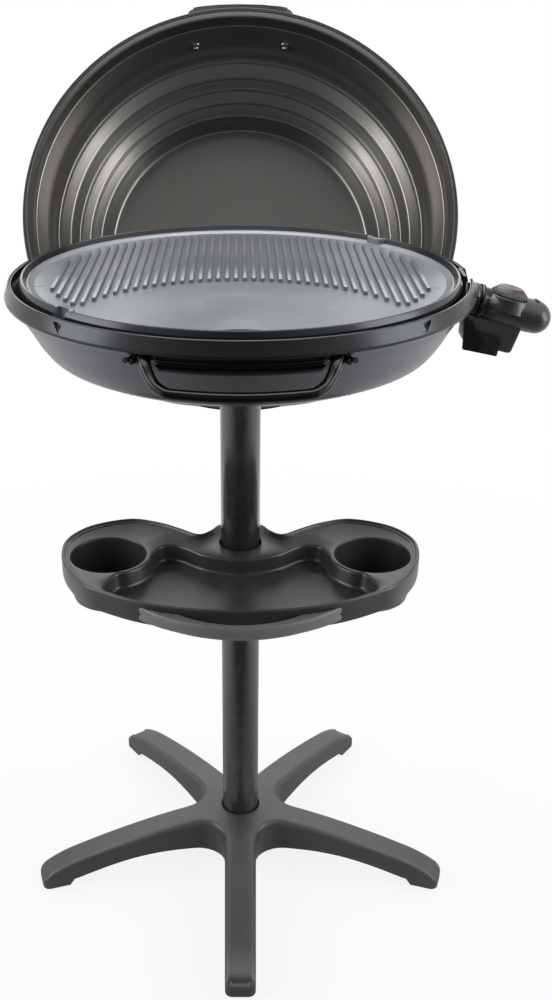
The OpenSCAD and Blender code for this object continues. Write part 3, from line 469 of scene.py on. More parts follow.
finish = {
    "base": makeFinish("satinBasePlastic", colour=grey(0.050, 1.12), rough=0.42, grain=1400.0,
                       grainStrength=0.35),
    "column": makeFinish("columnPowderCoat", colour=grey(0.020, 1.15), rough=0.25, specular=0.9, coat=0.4,
                         coatRough=0.18, grain=2200.0, grainStrength=0.15, wear=0.1, dust=0.0),
    "shelf": makeFinish("shelfMouldedPlastic", colour=grey(0.030, 1.15), rough=0.34, grain=1500.0, wear=0.2,
                        dust=0.02, worn=(0.16, 0.17, 0.18)),
    "rail": makeFinish("railMouldedPlastic", colour=grey(0.13, 1.1), rough=0.38, grain=1500.0, wear=0.25,
                       worn=(0.25, 0.26, 0.27)),
    "bowl": makeFinish("bowlMetallicCoat", colour=grey(0.12, 1.18), rough=0.33, metallic=0.7, flake=0.2,
                       grainStrength=0.15, wear=0.25, dust=0.02, worn=(0.3, 0.31, 0.33)),
    # the rim band is the same paint as the bowl, given a much darker colour: painted shade standing in for
    # the dark reflections on its front
    "bowlBand": makeFinish("paintedShadeBowlBandCoat", colour=grey(0.035, 1.18), rough=0.26, metallic=0.7, flake=0.15,
                           grainStrength=0.12, wear=0.2, dust=0.0, worn=(0.25, 0.26, 0.28)),
    "plate": makeFinish("plateNonStickCoat", colour=grey(0.28, 1.16), rough=0.32, metallic=0.3, flake=0.10,
                        grain=2200.0, grainStrength=0.18, dust=0.0, worn=(0.32, 0.33, 0.36)),
    # the rim is the same non-stick coating as the plate, given a much darker colour: painted shade standing
    # in for the dark surroundings its glossy bead reflects
    "plateRim": makeFinish("paintedShadePlateRimCoat", colour=grey(0.03, 1.2), rough=0.2, metallic=0.3, flake=0.1,
                           grain=2200.0, grainStrength=0.12, dust=0.0, worn=(0.25, 0.26, 0.28)),
    "plateRib": makeFinish("plateRibCoat", colour=grey(0.22, 1.18), rough=0.3, metallic=0.4, flake=0.12,
                           grain=2200.0, grainStrength=0.18, wear=0.3, dust=0.0, worn=(0.36, 0.37, 0.40)),
    "handle": makeFinish("glossBlackHandle", colour=grey(0.004), rough=0.18, specular=0.35, grain=600.0,
                         grainStrength=0.05, dust=0.02, worn=(0.05, 0.05, 0.05)),
    "hinge": makeFinish("hingeBlackPlastic", colour=grey(0.012), rough=0.4, grain=1500.0),
    "lidInside": makeFinish("lidBronzeMetallic", colour=(0.24, 0.232, 0.219), rough=0.25, metallic=0.88,
                            flake=0.05, grain=3200.0, grainStrength=0.015, wear=0.0, dust=0.0, light=1.05,
                            dark=0.95, roughSpread=0.02, cloud=3.0, worn=(0.4, 0.39, 0.37)),
    "lidOutside": makeFinish("lidOuterCoat", colour=grey(0.05, 1.1), rough=0.32, metallic=0.5, flake=0.15,
                             grainStrength=0.12, wear=0.1, dust=0.04),
    "lidRim": makeFinish("lidRimCoat", colour=(0.065, 0.063, 0.059), rough=0.28, metallic=0.6, flake=0.05,
                         grain=3200.0, grainStrength=0.02, roughSpread=0.03, wear=0.0, dust=0.0),
    "chrome": makeFinish("chromedSteel", colour=grey(0.62), rough=0.16, metallic=1.0, grainStrength=0.05,
                         roughSpread=0.1, wear=0.0, dust=0.0),
    "steel": makeFinish("zincSteel", colour=grey(0.42, 1.04), rough=0.34, metallic=1.0, grainStrength=0.15,
                        wear=0.1, dust=0.0),
    "rubber": makeFinish("padRubber", colour=grey(0.012), rough=0.8, grain=700.0, grainStrength=0.5),
    "tray": makeFinish("trayAluminium", colour=grey(0.55, 1.02), rough=0.38, metallic=1.0, cloud=14.0,
                       grainStrength=0.1),
    "element": makeFinish("elementSteel", colour=(0.10, 0.09, 0.08), metallic=0.8, cloud=22.0),
    "control": makeFinish("controlGreyPlastic", colour=grey(0.028, 1.08), rough=0.28, grain=1800.0,
                          grainStrength=0.2, wear=0.25, dust=0.06, worn=(0.2, 0.2, 0.2)),
    "neck": makeFinish("neckGlossPlastic", colour=grey(0.005), rough=0.14, specular=0.4, grainStrength=0.05,
                       dust=0.0),
    "cover": makeFinish("coverBlackPlastic", colour=grey(0.004), specular=0.3, grain=1600.0),
    "box": makeFinish("boxGreyPlastic", colour=grey(0.035, 1.06), rough=0.33, grain=1600.0),
    "dial": makeFinish("dialBlackPlastic", colour=grey(0.010), rough=0.35, grain=1600.0, dust=0.0),
    "switch": makeFinish("switchCreamPlastic", colour=(0.5, 0.46, 0.38), rough=0.5),
    "brass": makeFinish("contactBrass", colour=(0.62, 0.45, 0.18), rough=0.3, metallic=1.0),
    "mark": makeFinish("dialWhiteMark", colour=grey(0.55), rough=0.5, wear=0.0, dust=0.0, dark=0.9,
                       light=1.1),
    "redMark": makeFinish("dialRedMark", colour=(0.20, 0.02, 0.02), rough=0.5, wear=0.0, dust=0.0),
}


def buildLensFinish():
    material, tree, shader = newMaterial("amberLens")
    tone = useGroup(tree, cloudyTone, Scale=90.0)
    tree.links.new(mixColour(tree, tone.outputs["Tone"], (0.42, 0.10, 0.03), (0.75, 0.26, 0.10)),
                   shader.inputs["Base Color"])
    rough = calc(tree, "ADD", calc(tree, "MULTIPLY", tone.outputs["Smudge"], 0.15), 0.08)
    tree.links.new(rough, shader.inputs["Roughness"])
    shader.inputs["Transmission Weight"].default_value = 0.35
    shader.inputs["IOR"].default_value = 1.49
    return material


finish["lens"] = buildLensFinish()
print("finishes ready:", len(finish))

# five-legged base

baseSizes = {"legs": 5, "reach": 296, "tipHalf": 19.5, "rootHalf": 22.5, "web": 32, "tipRound": 19,
             "hubTop": 70, "tipTop": 31, "flatTo": 46, "edgeRound": 8, "tipDrop": 9, "dropFrom": 52,
             "bend": 1.7, "tipBend": 2.2, "padHeight": 4, "footLong": 40, "hollowFrom": 46,
             "hollowTo": 100, "hollowLow": 9, "arch": 13, "hubRise": 5, "tubeHole": 26.2,
             "collar": ((9, 0.2), (5, 1.2), (1.5, 0.6), (0, -1.5), (0, -20))}  # out from the hole, up


def legTop(r, s):
    t = max(0.0, (r - s["flatTo"]) / (s["reach"] - s["flatTo"]))
    fall = max(0.0, (r - s["reach"] + s["dropFrom"]) / s["dropFrom"])
    return s["hubTop"] - (s["hubTop"] - s["tipTop"]) * t ** s["bend"] - s["tipDrop"] * fall ** s["tipBend"]


def legUnder(r, s):
    if r > s["reach"] - s["footLong"]:
        return s["padHeight"]
    t = max(0.0, min(1.0, (s["reach"] - s["hollowFrom"] - r) / (s["reach"] - s["hollowTo"])))
    return s["padHeight"] + s["hollowLow"] + s["arch"] * sin(pi * t) + s["hubRise"] * t


def buildBase(s):
    reach, edge, hole, tip = s["reach"], s["edgeRound"], s["tubeHole"], s["tipRound"]
    turn = 2 * pi / s["legs"]
    web = s["rootHalf"] / sin(turn / 2)
    outline = []
    for k in range(s["legs"]):
        spokes = [Matrix.Rotation(-pi / 2 + (k + j) * turn, 2) for j in (0, 0.5, 1)]
        corners = [(spokes[0], (reach, 0), 0), (spokes[0], (reach, s["tipHalf"]), tip),
                   (spokes[1], (web, 0), s["web"]), (spokes[2], (reach, -s["tipHalf"]), tip),
                   (spokes[2], (reach, 0), 0)]
        line = roundOff([(*(m @ Vector(p)), radius) for m, p, radius in corners], 7)
        outline += resample(line, 7)[:-1]
    mesh = bmesh.new()
    rings = [[Vector((p.x, p.y, legUnder(p.length, s))) for p in inset(outline, 1.5)],
             [Vector((p.x, p.y, legUnder(p.length, s) + 1.5)) for p in outline]]
    for k in range(7):
        a = pi / 2 * k / 6
        moved = inset(outline, edge * (1 - cos(a)))
        rings.append([Vector((p.x, p.y, max(legTop(o.length, s) - edge * (1 - sin(a)),
                                            legUnder(o.length, s) + 2))) for p, o in zip(moved, outline)])
    made = loft(mesh, rings)
    flatFill(mesh, ringEdges(mesh, made[0]))
    collar = loft(mesh, [atHeight(circle(0, 0, hole + out, 48), s["hubTop"] + rise)
                         for out, rise in s["collar"]], capEnd=True)
    flatFill(mesh, ringEdges(mesh, made[-1]) + ringEdges(mesh, collar[0]))
    makePiece("baseStar", mesh, "stand", "base", ["base_star"])


buildBase(baseSizes)

columnSizes = {"radius": 25.4, "wall": 1.5, "foot": 26, "joint": 461, "top": 749}


def buildColumn(s):
    r, j = s["radius"], s["joint"]
    mesh = bmesh.new()
    spin(mesh, [(r, s["foot"]), (r, j - 1.2), (r - 0.5, j - 0.3), (r - 0.5, j + 0.3), (r, j + 1.2),
                (r, s["top"]), (r - s["wall"], s["top"]), (r - s["wall"], s["foot"])], 96)
    makePiece("columnTube", mesh, "stand", "column", ["lower_tube", "upper_tube"])


buildColumn(columnSizes)
print("base and column built")

# shelf with two cup wells and a basin

shelfSizes = {
    "half": [(0, -188.6), (60, -184), (117, -169), (163, -145), (193, -122), (222, -71), (231, -22),
             (223, 13), (196, 44), (148, 62), (108, 50), (80, 32), (56, 15), (41, 25), (28, 43), (0, 52)],
    "front": [(0, -181), (55, -177), (112, -161.5), (150, -142), (164, -131), (167, -121)],
    "rear": [(104, -17), (90, -12), (73.5, -17.6), (48, -39), (15, -51.5), (0, -54)],
    "horns": [255, 238, 218, 198, 178], "cupX": 169.5, "cupY": -38, "cupR": 48.5, "web": 7, "cupDepth": 58,
    "lip": 504, "deck": 500, "skirt": 475, "basin": 478, "lipWide": 4.5, "wall": 2.6, "boss": 38.4,
    "bossFoot": 470, "hole": 27.2}


def buildShelf(s):
    outline = throughPoints(whole(s["half"]), 6)
    reach = s["cupR"] + s["web"]
    horn = [(s["cupX"] + reach * cos(radians(a)), s["cupY"] + reach * sin(radians(a))) for a in s["horns"]]
    basin = throughPoints(whole(s["front"] + horn + s["rear"]), 6)
    mesh = bmesh.new()
    lip, deck, skirt, wide = s["lip"], s["deck"], s["skirt"], s["lipWide"]
    edge = [(1.0, skirt), (0.2, skirt + 4), (0, skirt + 10), (0, lip - 3), (0.35, lip - 1.4),
            (1.2, lip - 0.35), (2.2, lip), (3.2, lip - 0.2), (wide, lip - 1.2), (wide + 0.6, deck + 1.5),
            (wide + 2.6, deck + 1.2), (wide + 3.4, deck + 0.4), (wide + 4.2, deck)]
    rim = loft(mesh, [atHeight(inset(outline, d), z) for d, z in edge])
    loops = ringEdges(mesh, rim[-1])
    floor = s["basin"]
    well = [(-2.6, deck), (-1.3, deck - 0.4), (-0.3, deck - 1.5), (0.1, deck - 3.2), (1.0, floor + 5),
            (1.8, floor + 2), (3.4, floor + 0.5), (5.4, floor)]
    sink = loft(mesh, [atHeight(inset(basin, d), z) for d, z in well])
    loops += ringEdges(mesh, sink[0])
    flatFill(mesh, ringEdges(mesh, sink[-1]))
    low = deck - s["cupDepth"]
    cup = [(1.8, deck), (0.9, deck - 0.3), (0.2, deck - 1.1), (0, deck - 2.6), (-3.4, low + 6),
           (-4.4, low + 2.4), (-6.6, low + 0.5), (-9.5, low), (-26, low)]
    for side in (-1, 1):
        rings = [atHeight(circle(side * s["cupX"], s["cupY"], s["cupR"] + d, 72), z) for d, z in cup]
        loops += ringEdges(mesh, loft(mesh, rings, capEnd=True)[0])
    hole, foot = s["hole"], s["bossFoot"]
    boss = [(hole + 2.6, deck), (hole + 0.8, deck - 0.7), (hole, deck - 2.4), (hole, foot), (s["boss"], foot),
            (s["boss"], deck - 3)]
    loops += ringEdges(mesh, loft(mesh, [atHeight(circle(0, 0, r, 72), z) for r, z in boss])[0])
    flatFill(mesh, loops)
    piece = makePiece("shelfTray", mesh, "stand", "shelf", ["shelf_tray"])
    thick = piece.modifiers.new("wall", "SOLIDIFY")
    thick.thickness, thick.offset, thick.use_even_offset = s["wall"] * toMetres, -1, False
    return piece


def faceUp(piece, probe):  # turns an open skin so that the face nearest the probe looks up
    data = piece.data
    near = min(data.polygons, key=lambda f: (f.center - Vector(probe) * toMetres).length)
    if near.normal.z < 0:
        data.flip_normals()


shelf = buildShelf(shelfSizes)
faceUp(shelf, (0, -120, shelfSizes["basin"]))
bake(shelf)

railSizes = {"front": 216.5, "tip": (121, 167), "bar": 10, "window": (72, 181), "low": 479, "high": 497,
             "samples": 61, "groove": 1.2, "endFrom": 0.8, "endSquare": 0.04, "endTall": 0.35,
             "squareness": 3.4, "thinnest": 1.2}


def buildRail(s):
    outline = throughPoints(whole(shelfSizes["half"]), 6)

    def arcY(front, tip, x):
        radius = (tip[0] ** 2 + (front - tip[1]) ** 2) / (2 * (front - tip[1]))
        return -front + radius - sqrt(max(0, radius ** 2 - x * x))

    def skirtY(x):
        side = [p for p in outline if p.y < -100]
        return min(side, key=lambda p: abs(p.x - x)).y

    centre, half = (s["low"] + s["high"]) / 2, (s["high"] - s["low"]) / 2
    section = oval(1, 1, s["squareness"], 36)
    rings = []
    for k in range(s["samples"]):
        t = -1 + 2 * k / (s["samples"] - 1)
        x = s["tip"][0] * sin(t * pi / 2)
        outer = arcY(s["front"], s["tip"], x)
        inner = arcY(s["front"] - s["bar"], s["window"], x)
        if abs(x) > s["window"][0] - 6:
            inner = skirtY(x) + 0.6
        inner = max(inner, outer + s["thinnest"])
        end = sqrt(max(0.0, 1 - max(0, abs(t) - s["endFrom"]) ** 2 / s["endSquare"]))
        tall = half * (s["endTall"] + (1 - s["endTall"]) * end)
        wide, mid = (inner - outer) / 2, (inner + outer) / 2
        ring = []
        for u, v in section:
            dent = s["groove"] if u < -0.85 and -0.05 < v < 0.3 else 0
            ring.append(Vector((x, mid + u * wide + dent, centre + v * tall)))
        rings.append(ring)
    mesh = bmesh.new()
    solidLoft(mesh, rings)
    makePiece("shelfRail", mesh, "stand", "rail", ["shelf_rail"], 45)


buildRail(railSizes)
print("shelf and rail built")

# round bowl

bowlSizes = {
    "radius": 277, "rim": 856, "band": 17, "wall": 2.4, "floor": 757,
    "fall": [(-9, 0), (-18, 15), (-27, 30), (-35.6, 45), (-47.4, 60), (-60, 67), (-74.5, 73), (-92, 77),
             (-108, 78)],
    "restAngles": (55, 125, 235, 305), "bossAngles": (45, 135, 225, 315), "recessAngles": (-44.6, 226),
    "restLow": (33, 30), "restHigh": (14, 8.5),  # in from the radius, down from the rim
    "restHalf": 9, "restRound": 2, "bossRing": 50, "bossR": 6.5, "mouthDeep": 60, "mouthFrom": 46,
    "recessDeep": 6.5, "recessDown": 9, "notch": 24.5, "notchHeight": 824.2}


def bowlLines(s):
    r, z, high = s["radius"], s["rim"], s["band"]
    top = z - high - 4
    wall = throughPoints([(r + x, top - y) for x, y in s["fall"]], 4, closed=False)
    band = roundOff([(r - 7.5, z - 1.2, 0), (r - 6, z, 1.0), (r - 4.6, z - 1.0, 1.0),
                     (r, z - high + 1.5, 2.5), (r - 0.6, z - high - 2.2, 1.2),
                     (r - 9.2, z - high - 2.8, 1.5), (r - high / 1.9, top - 1, 0)], 4)
    return band, wall


def bowlWallRadius(z, s=bowlSizes):
    line = [p for part in bowlLines(s) for p in part if p.y < s["rim"] - s["band"] - 4.5]
    for a, b in zip(line, line[1:]):
        if b.y <= z <= a.y:
            return a.x + (b.x - a.x) * (a.y - z) / max(1e-6, a.y - b.y)
    return line[0].x


def buildBowl(s):
    r, rim, floor = s["radius"], s["rim"], s["floor"]
    band, wall = bowlLines(s)
    outer = band + wall[1:]
    inner = [(r - 8.4, rim - 1.2), (r - 5, rim - s["band"] + 3)]
    inner += inset(wall, -s["wall"], closed=False)
    profile = [(0, floor)] + outer[::-1] + inner + [(0, floor + s["wall"])]
    mesh = bmesh.new()
    # material 1, the rim band above this level, takes the darker band colour, which is painted shade
    spin(mesh, profile, 240, marks=bandMarks(profile, 1, rim - s["band"] - 2.5))
    piece = makePiece("bowlShell", mesh, "stand", "bowl bowlBand", ["bowl_shell"])
    cutter = bmesh.new()
    notch, deep = s["notch"], s["mouthDeep"]
    mouth = [onRing(notch, radians(a), 0) for a in range(180, 361, 9)] + [(notch, deep), (-notch, deep)]
    upright = turned(90) @ turned(90, "X")
    slab(cutter, mouth, 0, deep, place=shifted(r - s["mouthFrom"], 0, s["notchHeight"]) @ upright)
    for a in s["recessAngles"]:  # three-cornered recesses in the band
        lean = 1 if cos(radians(a)) < 0 else -1
        spot = turned(a) @ shifted(r - s["recessDeep"], 0, rim - s["recessDown"]) @ upright
        corners = [(-8 * lean, 6, 1.5), (7.5 * lean, 5, 1.5), (6.5 * lean, -7.5, 1.5)]
        slab(cutter, closedRound(corners if lean > 0 else corners[::-1]), 0, 12, place=spot)
    cutAway(piece, cutter)
    rests = bmesh.new()
    for a in s["restAngles"]:
        low, high = ((r - back, side * s["restHalf"], rim - down)
                     for side, (back, down) in ((-1, s["restLow"]), (1, s["restHigh"])))
        block(rests, low, high, s["restRound"], turned(a))
    for a in s["bossAngles"]:
        spot = turned(a) @ shifted(s["bossRing"], 0, floor + 4)
        slab(rests, oval(s["bossR"], s["bossR"], 2, 24), -3, 4, 0.8, spot)
    makePiece("bowlRests", rests, "stand", "bowl")


buildBowl(bowlSizes)

# grip and loop on the bowl's front

frontGripSizes = {
    "top": 837.6, "tall": 22, "halfAngle": 25.5, "thick": 4, "ribs": (5.5, 14.5), "ribOut": 2.4,
    "steps": 72, "loopRing": 291, "loopHeight": 804.9, "sag": 1.3, "loopAngle": 14, "thickHalf": 5.5,
    "highHalf": 5.0, "arm": [(97, -251, 830), (95.5, -259, 826.5), (91, -266.5, 818), (85, -274, 810.5),
                             (76, -280.5, 806)], "screwX": 108, "screwDrop": 9,
    "sagTurn": 5.6, "flareFrom": 0.8, "flareLong": 0.2, "flareWide": 0.2, "flareHigh": 0.25,
    "outline": ((0, 1), (0.727, 1), (0.777, 0.76), (0.931, 0.74), (1, 0.06))}  # along, share of height


def gripHeight(t, s):  # share of the grip's height at t, which runs from 0 in the middle to 1 at its end
    for (a, low), (b, high) in zip(s["outline"], s["outline"][1:]):
        if t <= b:
            return low + (high - low) * (t - a) / (b - a)
    return s["outline"][-1][1]


def buildFrontGrip(s):
    top, tall = s["top"], s["tall"]
    mesh = bmesh.new()
    ribShape = [(0, 0)]
    for h in s["ribs"]:
        ribShape += [(h + up, s["ribOut"] * out) for up, out in
                     ((-1.6, 0), (-0.7, 0.8), (0, 1), (0.7, 0.8), (1.6, 0))]
    ribShape += [(tall - 1.2, 0), (tall, -1.2)]
    rings = []
    for k in range(s["steps"] + 1):
        t = -1 + 2 * k / s["steps"]
        a = radians(-90 + t * s["halfAngle"])
        taper = gripHeight(abs(t), s)
        flat = 1 if abs(t) <= s["outline"][1][0] else 0
        ring = []
        for h, out in ribShape:
            z = top - (tall - h) * taper
            r = bowlWallRadius(z) + 0.3 + (s["thick"] + out * flat) * (0.5 + 0.5 * taper)
            ring.append(onRing(r, a, z))
        for h in (tall, 0):
            z = top - (tall - h) * taper
            ring.append(onRing(bowlWallRadius(z) + 0.3, a, z))
        rings.append(ring)
    solidLoft(mesh, rings)
    arc = [Vector((s["loopRing"] * sin(radians(a)), -s["loopRing"] * cos(radians(a)),
                   s["loopHeight"] - s["sag"] * cos(radians(a * s["sagTurn"]))))
           for a in range(-s["loopAngle"], s["loopAngle"] + 1, 2)]
    side = [Vector(p) for p in s["arm"]]
    left = [Vector((-p.x, p.y, p.z)) for p in side]
    path = throughPoints(left + arc + side[::-1], 5, closed=False)
    flares = [max(0.0, (abs(2 * i / (len(path) - 1) - 1) - s["flareFrom"]) / s["flareLong"])
              for i in range(len(path))]
    scales = [(1 + s["flareWide"] * f, 1 + s["flareHigh"] * f) for f in flares]
    sweep(mesh, path, oval(s["thickHalf"], s["highHalf"], 3.0, 28), scales=scales)
    for sign in (-1, 1):
        a = asin(s["screwX"] / (bowlSizes["radius"] - 2)) * sign
        spot = Matrix.Rotation(a, 4, "Z") @ shifted(0, 3 - bowlSizes["radius"], top - s["screwDrop"])
        slab(mesh, oval(3, 3, 2, 24), -10, 4.6, 0.8, spot @ turned(90, "X"))
    makePiece("frontGrip", mesh, "stand", "handle", ["front_handle"], 50)


buildFrontGrip(frontGripSizes)
print("bowl and front grip built")

# round plate, half ribbed

plateSizes = {
    "radius": 260, "top": 860.8, "floor": 848.1, "ledge": 854.4, "face": 851.8,
    "faceR": 242, "pitch": 10.4, "ribWide": 4.9, "ribHigh": 4.3, "ribEnd": 224, "smoothR": 191,
    "smoothY": -214, "slotHalf": 26, "slotFront": -243, "slotRear": -219.6, "notches": (44.5, 222.9),
    "notchHalf": 10.5, "slotBow": 5.5, "shortest": 8, "marks": ((-231, -48), (222.6, -55))}


def buildPlate(s):
    r, z = s["radius"], s["top"]
    low, ledge, face = s["floor"], s["ledge"], s["face"]
    profile = [(0, low)] + roundOff([
        (60, low, 0), (r - 4, low, 2), (r, low + 2.5, 1.5), (r - 0.3, z - 6, 1.5), (r - 2.4, z - 1.1, 1.0),
        (r - 3.2, z, 0.7), (r - 5.8, z - 0.2, 0.9), (r - 9.4, ledge + 0.3, 1.4), (r - 11.0, ledge + 0.9, 0.6),
        (r - 13.0, ledge + 0.2, 0.8), (s["faceR"], face, 3), (120, face, 0)], 4) + [(0, face)]
    mesh = bmesh.new()
    # material 1, the outer rim past this radius, takes the darker rim colour, which is painted shade
    spin(mesh, profile, 240, marks=bandMarks(profile, 0, r - 9.8))
    piece = makePiece("grillPlate", mesh, "plate", "plate plateRim", ["grill_plate"])
    cutter = bmesh.new()
    long, shares = s["slotHalf"], [1 - k / 8 for k in range(17)]
    slot = [(long * t, s["slotRear"] - s["slotBow"] * t ** 2) for t in shares]
    slot += [(-long, s["slotFront"] + 2), (long, s["slotFront"] + 2)]
    slab(cutter, slot, low - 1, ledge + 0.2)
    wide = s["notchHalf"]
    for a in s["notches"]:
        mouth = closedRound([(-10, -wide, 3), (8, -wide, 0), (8, wide, 0), (-10, wide, 3)])
        slab(cutter, mouth, -2, 20, place=turned(a) @ shifted(r + 1, 0, low))
    for x, y in s["marks"]:
        arc = [(x + u, y + 2 - 0.055 * u * u) for u in range(7, -8, -1)]
        arc += [(x + u, y + 0.4 - 0.038 * u * u) for u in range(-6, 7)]
        slab(cutter, arc, face - 1.8, face + 3)
    cutAway(piece, cutter)
    ribs = bmesh.new()
    half, high = s["ribWide"] / 2, s["ribHigh"]
    side = [(-half - 0.3, -0.3), (-half, 0.3), (-half + 0.15, high - 0.5), (-half + 0.6, high),
            (0, high + 0.05), (half - 0.6, high), (half - 0.15, high - 0.5), (half, 0.3), (half + 0.3, -0.3)]
    count = int((s["ribEnd"] - s["shortest"]) / s["pitch"] - 0.5)
    for i in range(-count - 1, count + 1):
        x = (i + 0.5) * s["pitch"]
        rear = sqrt(s["ribEnd"] ** 2 - x * x)
        front = -rear
        if abs(x) < s["smoothR"]:
            front = max(-rear, s["smoothY"] + sqrt(s["smoothR"] ** 2 - x * x))
        if rear - front < s["shortest"]:
            continue
        ends = [(front, 0.55), (front + 0.15, 0.2), (front + 0.5, 0), (rear - 1.6, 0), (rear - 0.6, 0.7),
                (rear, 1.8)]
        rings = [[Vector((x + u, y, face + min(v, high - drop))) for u, v in side] for y, drop in ends]
        solidLoft(ribs, rings)
    for a in s["notches"]:  # the raised edge runs round each notch
        arm = [(-16, wide, 6), (-4.6, wide + 6, 1), (-4.6, wide + 0.3, 0), (-10.2, wide + 0.3, 3)]
        wall = closedRound([(x, -y, radius) for x, y, radius in arm] + arm[::-1])
        slab(ribs, wall, low + 1, z - 0.1, 0.7, place=turned(a) @ shifted(r + 1, 0, 0))
    makePiece("plateRibs", ribs, "plate", "plateRib")


buildPlate(plateSizes)
print("plate built")

# hinged lid, drawn closed and then turned open

lidSizes = {
    "radius": 293, "flange": 14, "rim": 845, "swing": 123.15, "hingeY": 121.2, "hingeZ": 807.9, "wall": 2,
    "crease": [(279, 0), (277.5, 20), (270, 48), (262, 64), (254.5, 76.5), (240, 94), (229, 108),
               (216, 122), (202, 137), (188, 153)],
    # the crown's points are measured from the last crease
    "crown": ((-1.2, 1.0), (-3.5, 1.6), (-14, 2.4), (-40, 3.8), (-80, 5.2), (-130, 6.2)), "rise": 6.6,
    "ringOut": 1.1, "rings": (1, 4, 5, 6, 7, 8), "ventY": 255, "ventLong": 100, "ventHeight": 70,
    "lip": 5}
lidOpen = (shifted(0, lidSizes["hingeY"], lidSizes["hingeZ"]) @ turned(-lidSizes["swing"], "X")
           @ shifted(0, -lidSizes["hingeY"], -lidSizes["hingeZ"]))


def domeLines(s):  # a smooth dome whose creases carry small pressed rings inside
    smooth = throughPoints(s["crease"], 6, closed=False)
    edge = smooth[-1]
    centre = [edge + Vector(d) for d in s["crown"]] + [Vector((0, edge.y + s["rise"]))]
    ring = ((-2.1, 0), (-1.2, 0.25), (-0.6, s["ringOut"]), (0.5, s["ringOut"]), (1.1, 0.2), (2.0, 0))
    inner = []
    for k, p in enumerate(smooth):
        if k % 6 == 0 and k // 6 in s["rings"]:
            t = (smooth[k + 1] - smooth[k - 1]).normalized()
            n = Vector((-t.y, t.x))
            inner += [p + t * along + n * out for along, out in ring]
        else:
            inner.append(p)
    return inner + centre, inset(smooth + centre, -s["wall"], closed=False)


def buildLid(s):
    inner, outer = domeLines(s)
    outer[-1] = Vector((0, outer[-1].y))
    r, rim, wall, lip = s["radius"], s["flange"], s["wall"], s["lip"]
    edge = roundOff([(r - rim, 0, 0), (r - rim + 2, -0.2, 1), (r - 6.2, 0, 0.3), (r - 5.3, 0.8, 0.4),
                     (r - 4.4, 0, 0.3), (r - 2.2, 0, 1), (r - 0.8, -0.6, 0.8), (r, 0.6, 0.8), (r, lip, 0.4),
                     (r - wall, lip, 0.4), (r - wall, wall, 1), (outer[0].x, wall, 0)], 3)
    profile = edge[1:] + outer[1:] + inner[::-1]
    marks = [2] * (len(edge) - 1) + [1] * (len(outer) - 1)
    marks += [0 if p.y > s["crease"][1][1] - 1 else 2 for p in reversed(inner)]
    mesh = bmesh.new()
    spin(mesh, [(p.x, p.y + s["rim"]) for p in profile], 288, marks=marks)
    move(mesh, lidOpen)
    piece = makePiece("lidShell", mesh, "lid", "lidInside lidOutside lidRim", ["lid_shell"], 40)
    cutter = bmesh.new()
    block(cutter, (-r - 5, s["ventY"], s["rim"] - 5),
          (r + 5, s["ventY"] + s["ventLong"], s["rim"] + s["ventHeight"]))
    move(cutter, lidOpen)
    cutAway(piece, cutter, 40)


buildLid(lidSizes)

lidGripSizes = {"half": 75, "arm": 20, "reach": 317.5, "bar": 13, "low": 34, "high": 56, "corner": 14,
                "bevel": 3.2, "inner": 9, "foot": -250, "cutFrom": 800}


def buildLidGrip(s):
    h, a, y = s["half"], s["arm"], -s["reach"]
    half = [(0, y - 1.5, 0), (h * 0.4, y - 0.7, 80), (h * 0.74, y + 1.8, 60), (h, y + 5.5, s["corner"]),
            (h + 1, s["foot"], 0), (h - a, s["foot"], 0), (h - a + 2, y + s["bar"], s["inner"]),
            (0, y + s["bar"] - 1, 0)]
    line = roundOff(half, 6)
    line = line[:-1] + [Vector((-p.x, p.y)) for p in line[::-1]][:-1]
    mesh = bmesh.new()
    slab(mesh, line, lidSizes["rim"] + s["low"], lidSizes["rim"] + s["high"], s["bevel"], segments=4)
    move(mesh, lidOpen)
    piece = makePiece("lidGrip", mesh, "lid", "handle", ["lid_handle"], 40)
    dome = domeLines(lidSizes)[1]
    cutter = bmesh.new()
    spin(cutter, [(0, s["cutFrom"])] + [(p.x + 0.1, p.y + lidSizes["rim"]) for p in dome], 144)
    move(cutter, lidOpen)
    cutAway(piece, cutter, 40)


buildLidGrip(lidGripSizes)

nutSizes = {"x": 63, "height": 46, "wallR": 272.5, "washer": 6.2, "nut": 4.4, "tall": 7.5}


def buildLidNuts(s):  # cap nuts of the handle's screws, inside the lid
    mesh = bmesh.new()
    washer, nut = s["washer"], s["nut"]
    disc = roundOff([(0, 1.6, 0), (washer, 1.6, 0), (washer, 3.2, 0.6), (3, 3.6, 0), (0, 3.6, 0)], 3)
    top = roundOff([(nut - 0.6, 6.2, 0), (nut - 0.7, s["tall"] + 1, 2.4), (0, s["tall"] + 1.4, 0)], 5)
    for side in (-1, 1):
        y = -sqrt(s["wallR"] ** 2 - s["x"] ** 2)
        spot = lidOpen @ shifted(side * s["x"], y, lidSizes["rim"] + s["height"]) @ turned(-90, "X")
        spin(mesh, disc, 32, spot)
        slab(mesh, oval(nut, nut, 2, 6), 3.4, 6.4, 0.4, spot)
        spin(mesh, [(0, 6.2)] + top, 32, spot)
    makePiece("lidNuts", mesh, "lid", "chrome", ["lid_handle_screws"])


buildLidNuts(nutSizes)
print("lid built")

# heat control, drawn level and then tilted into its place

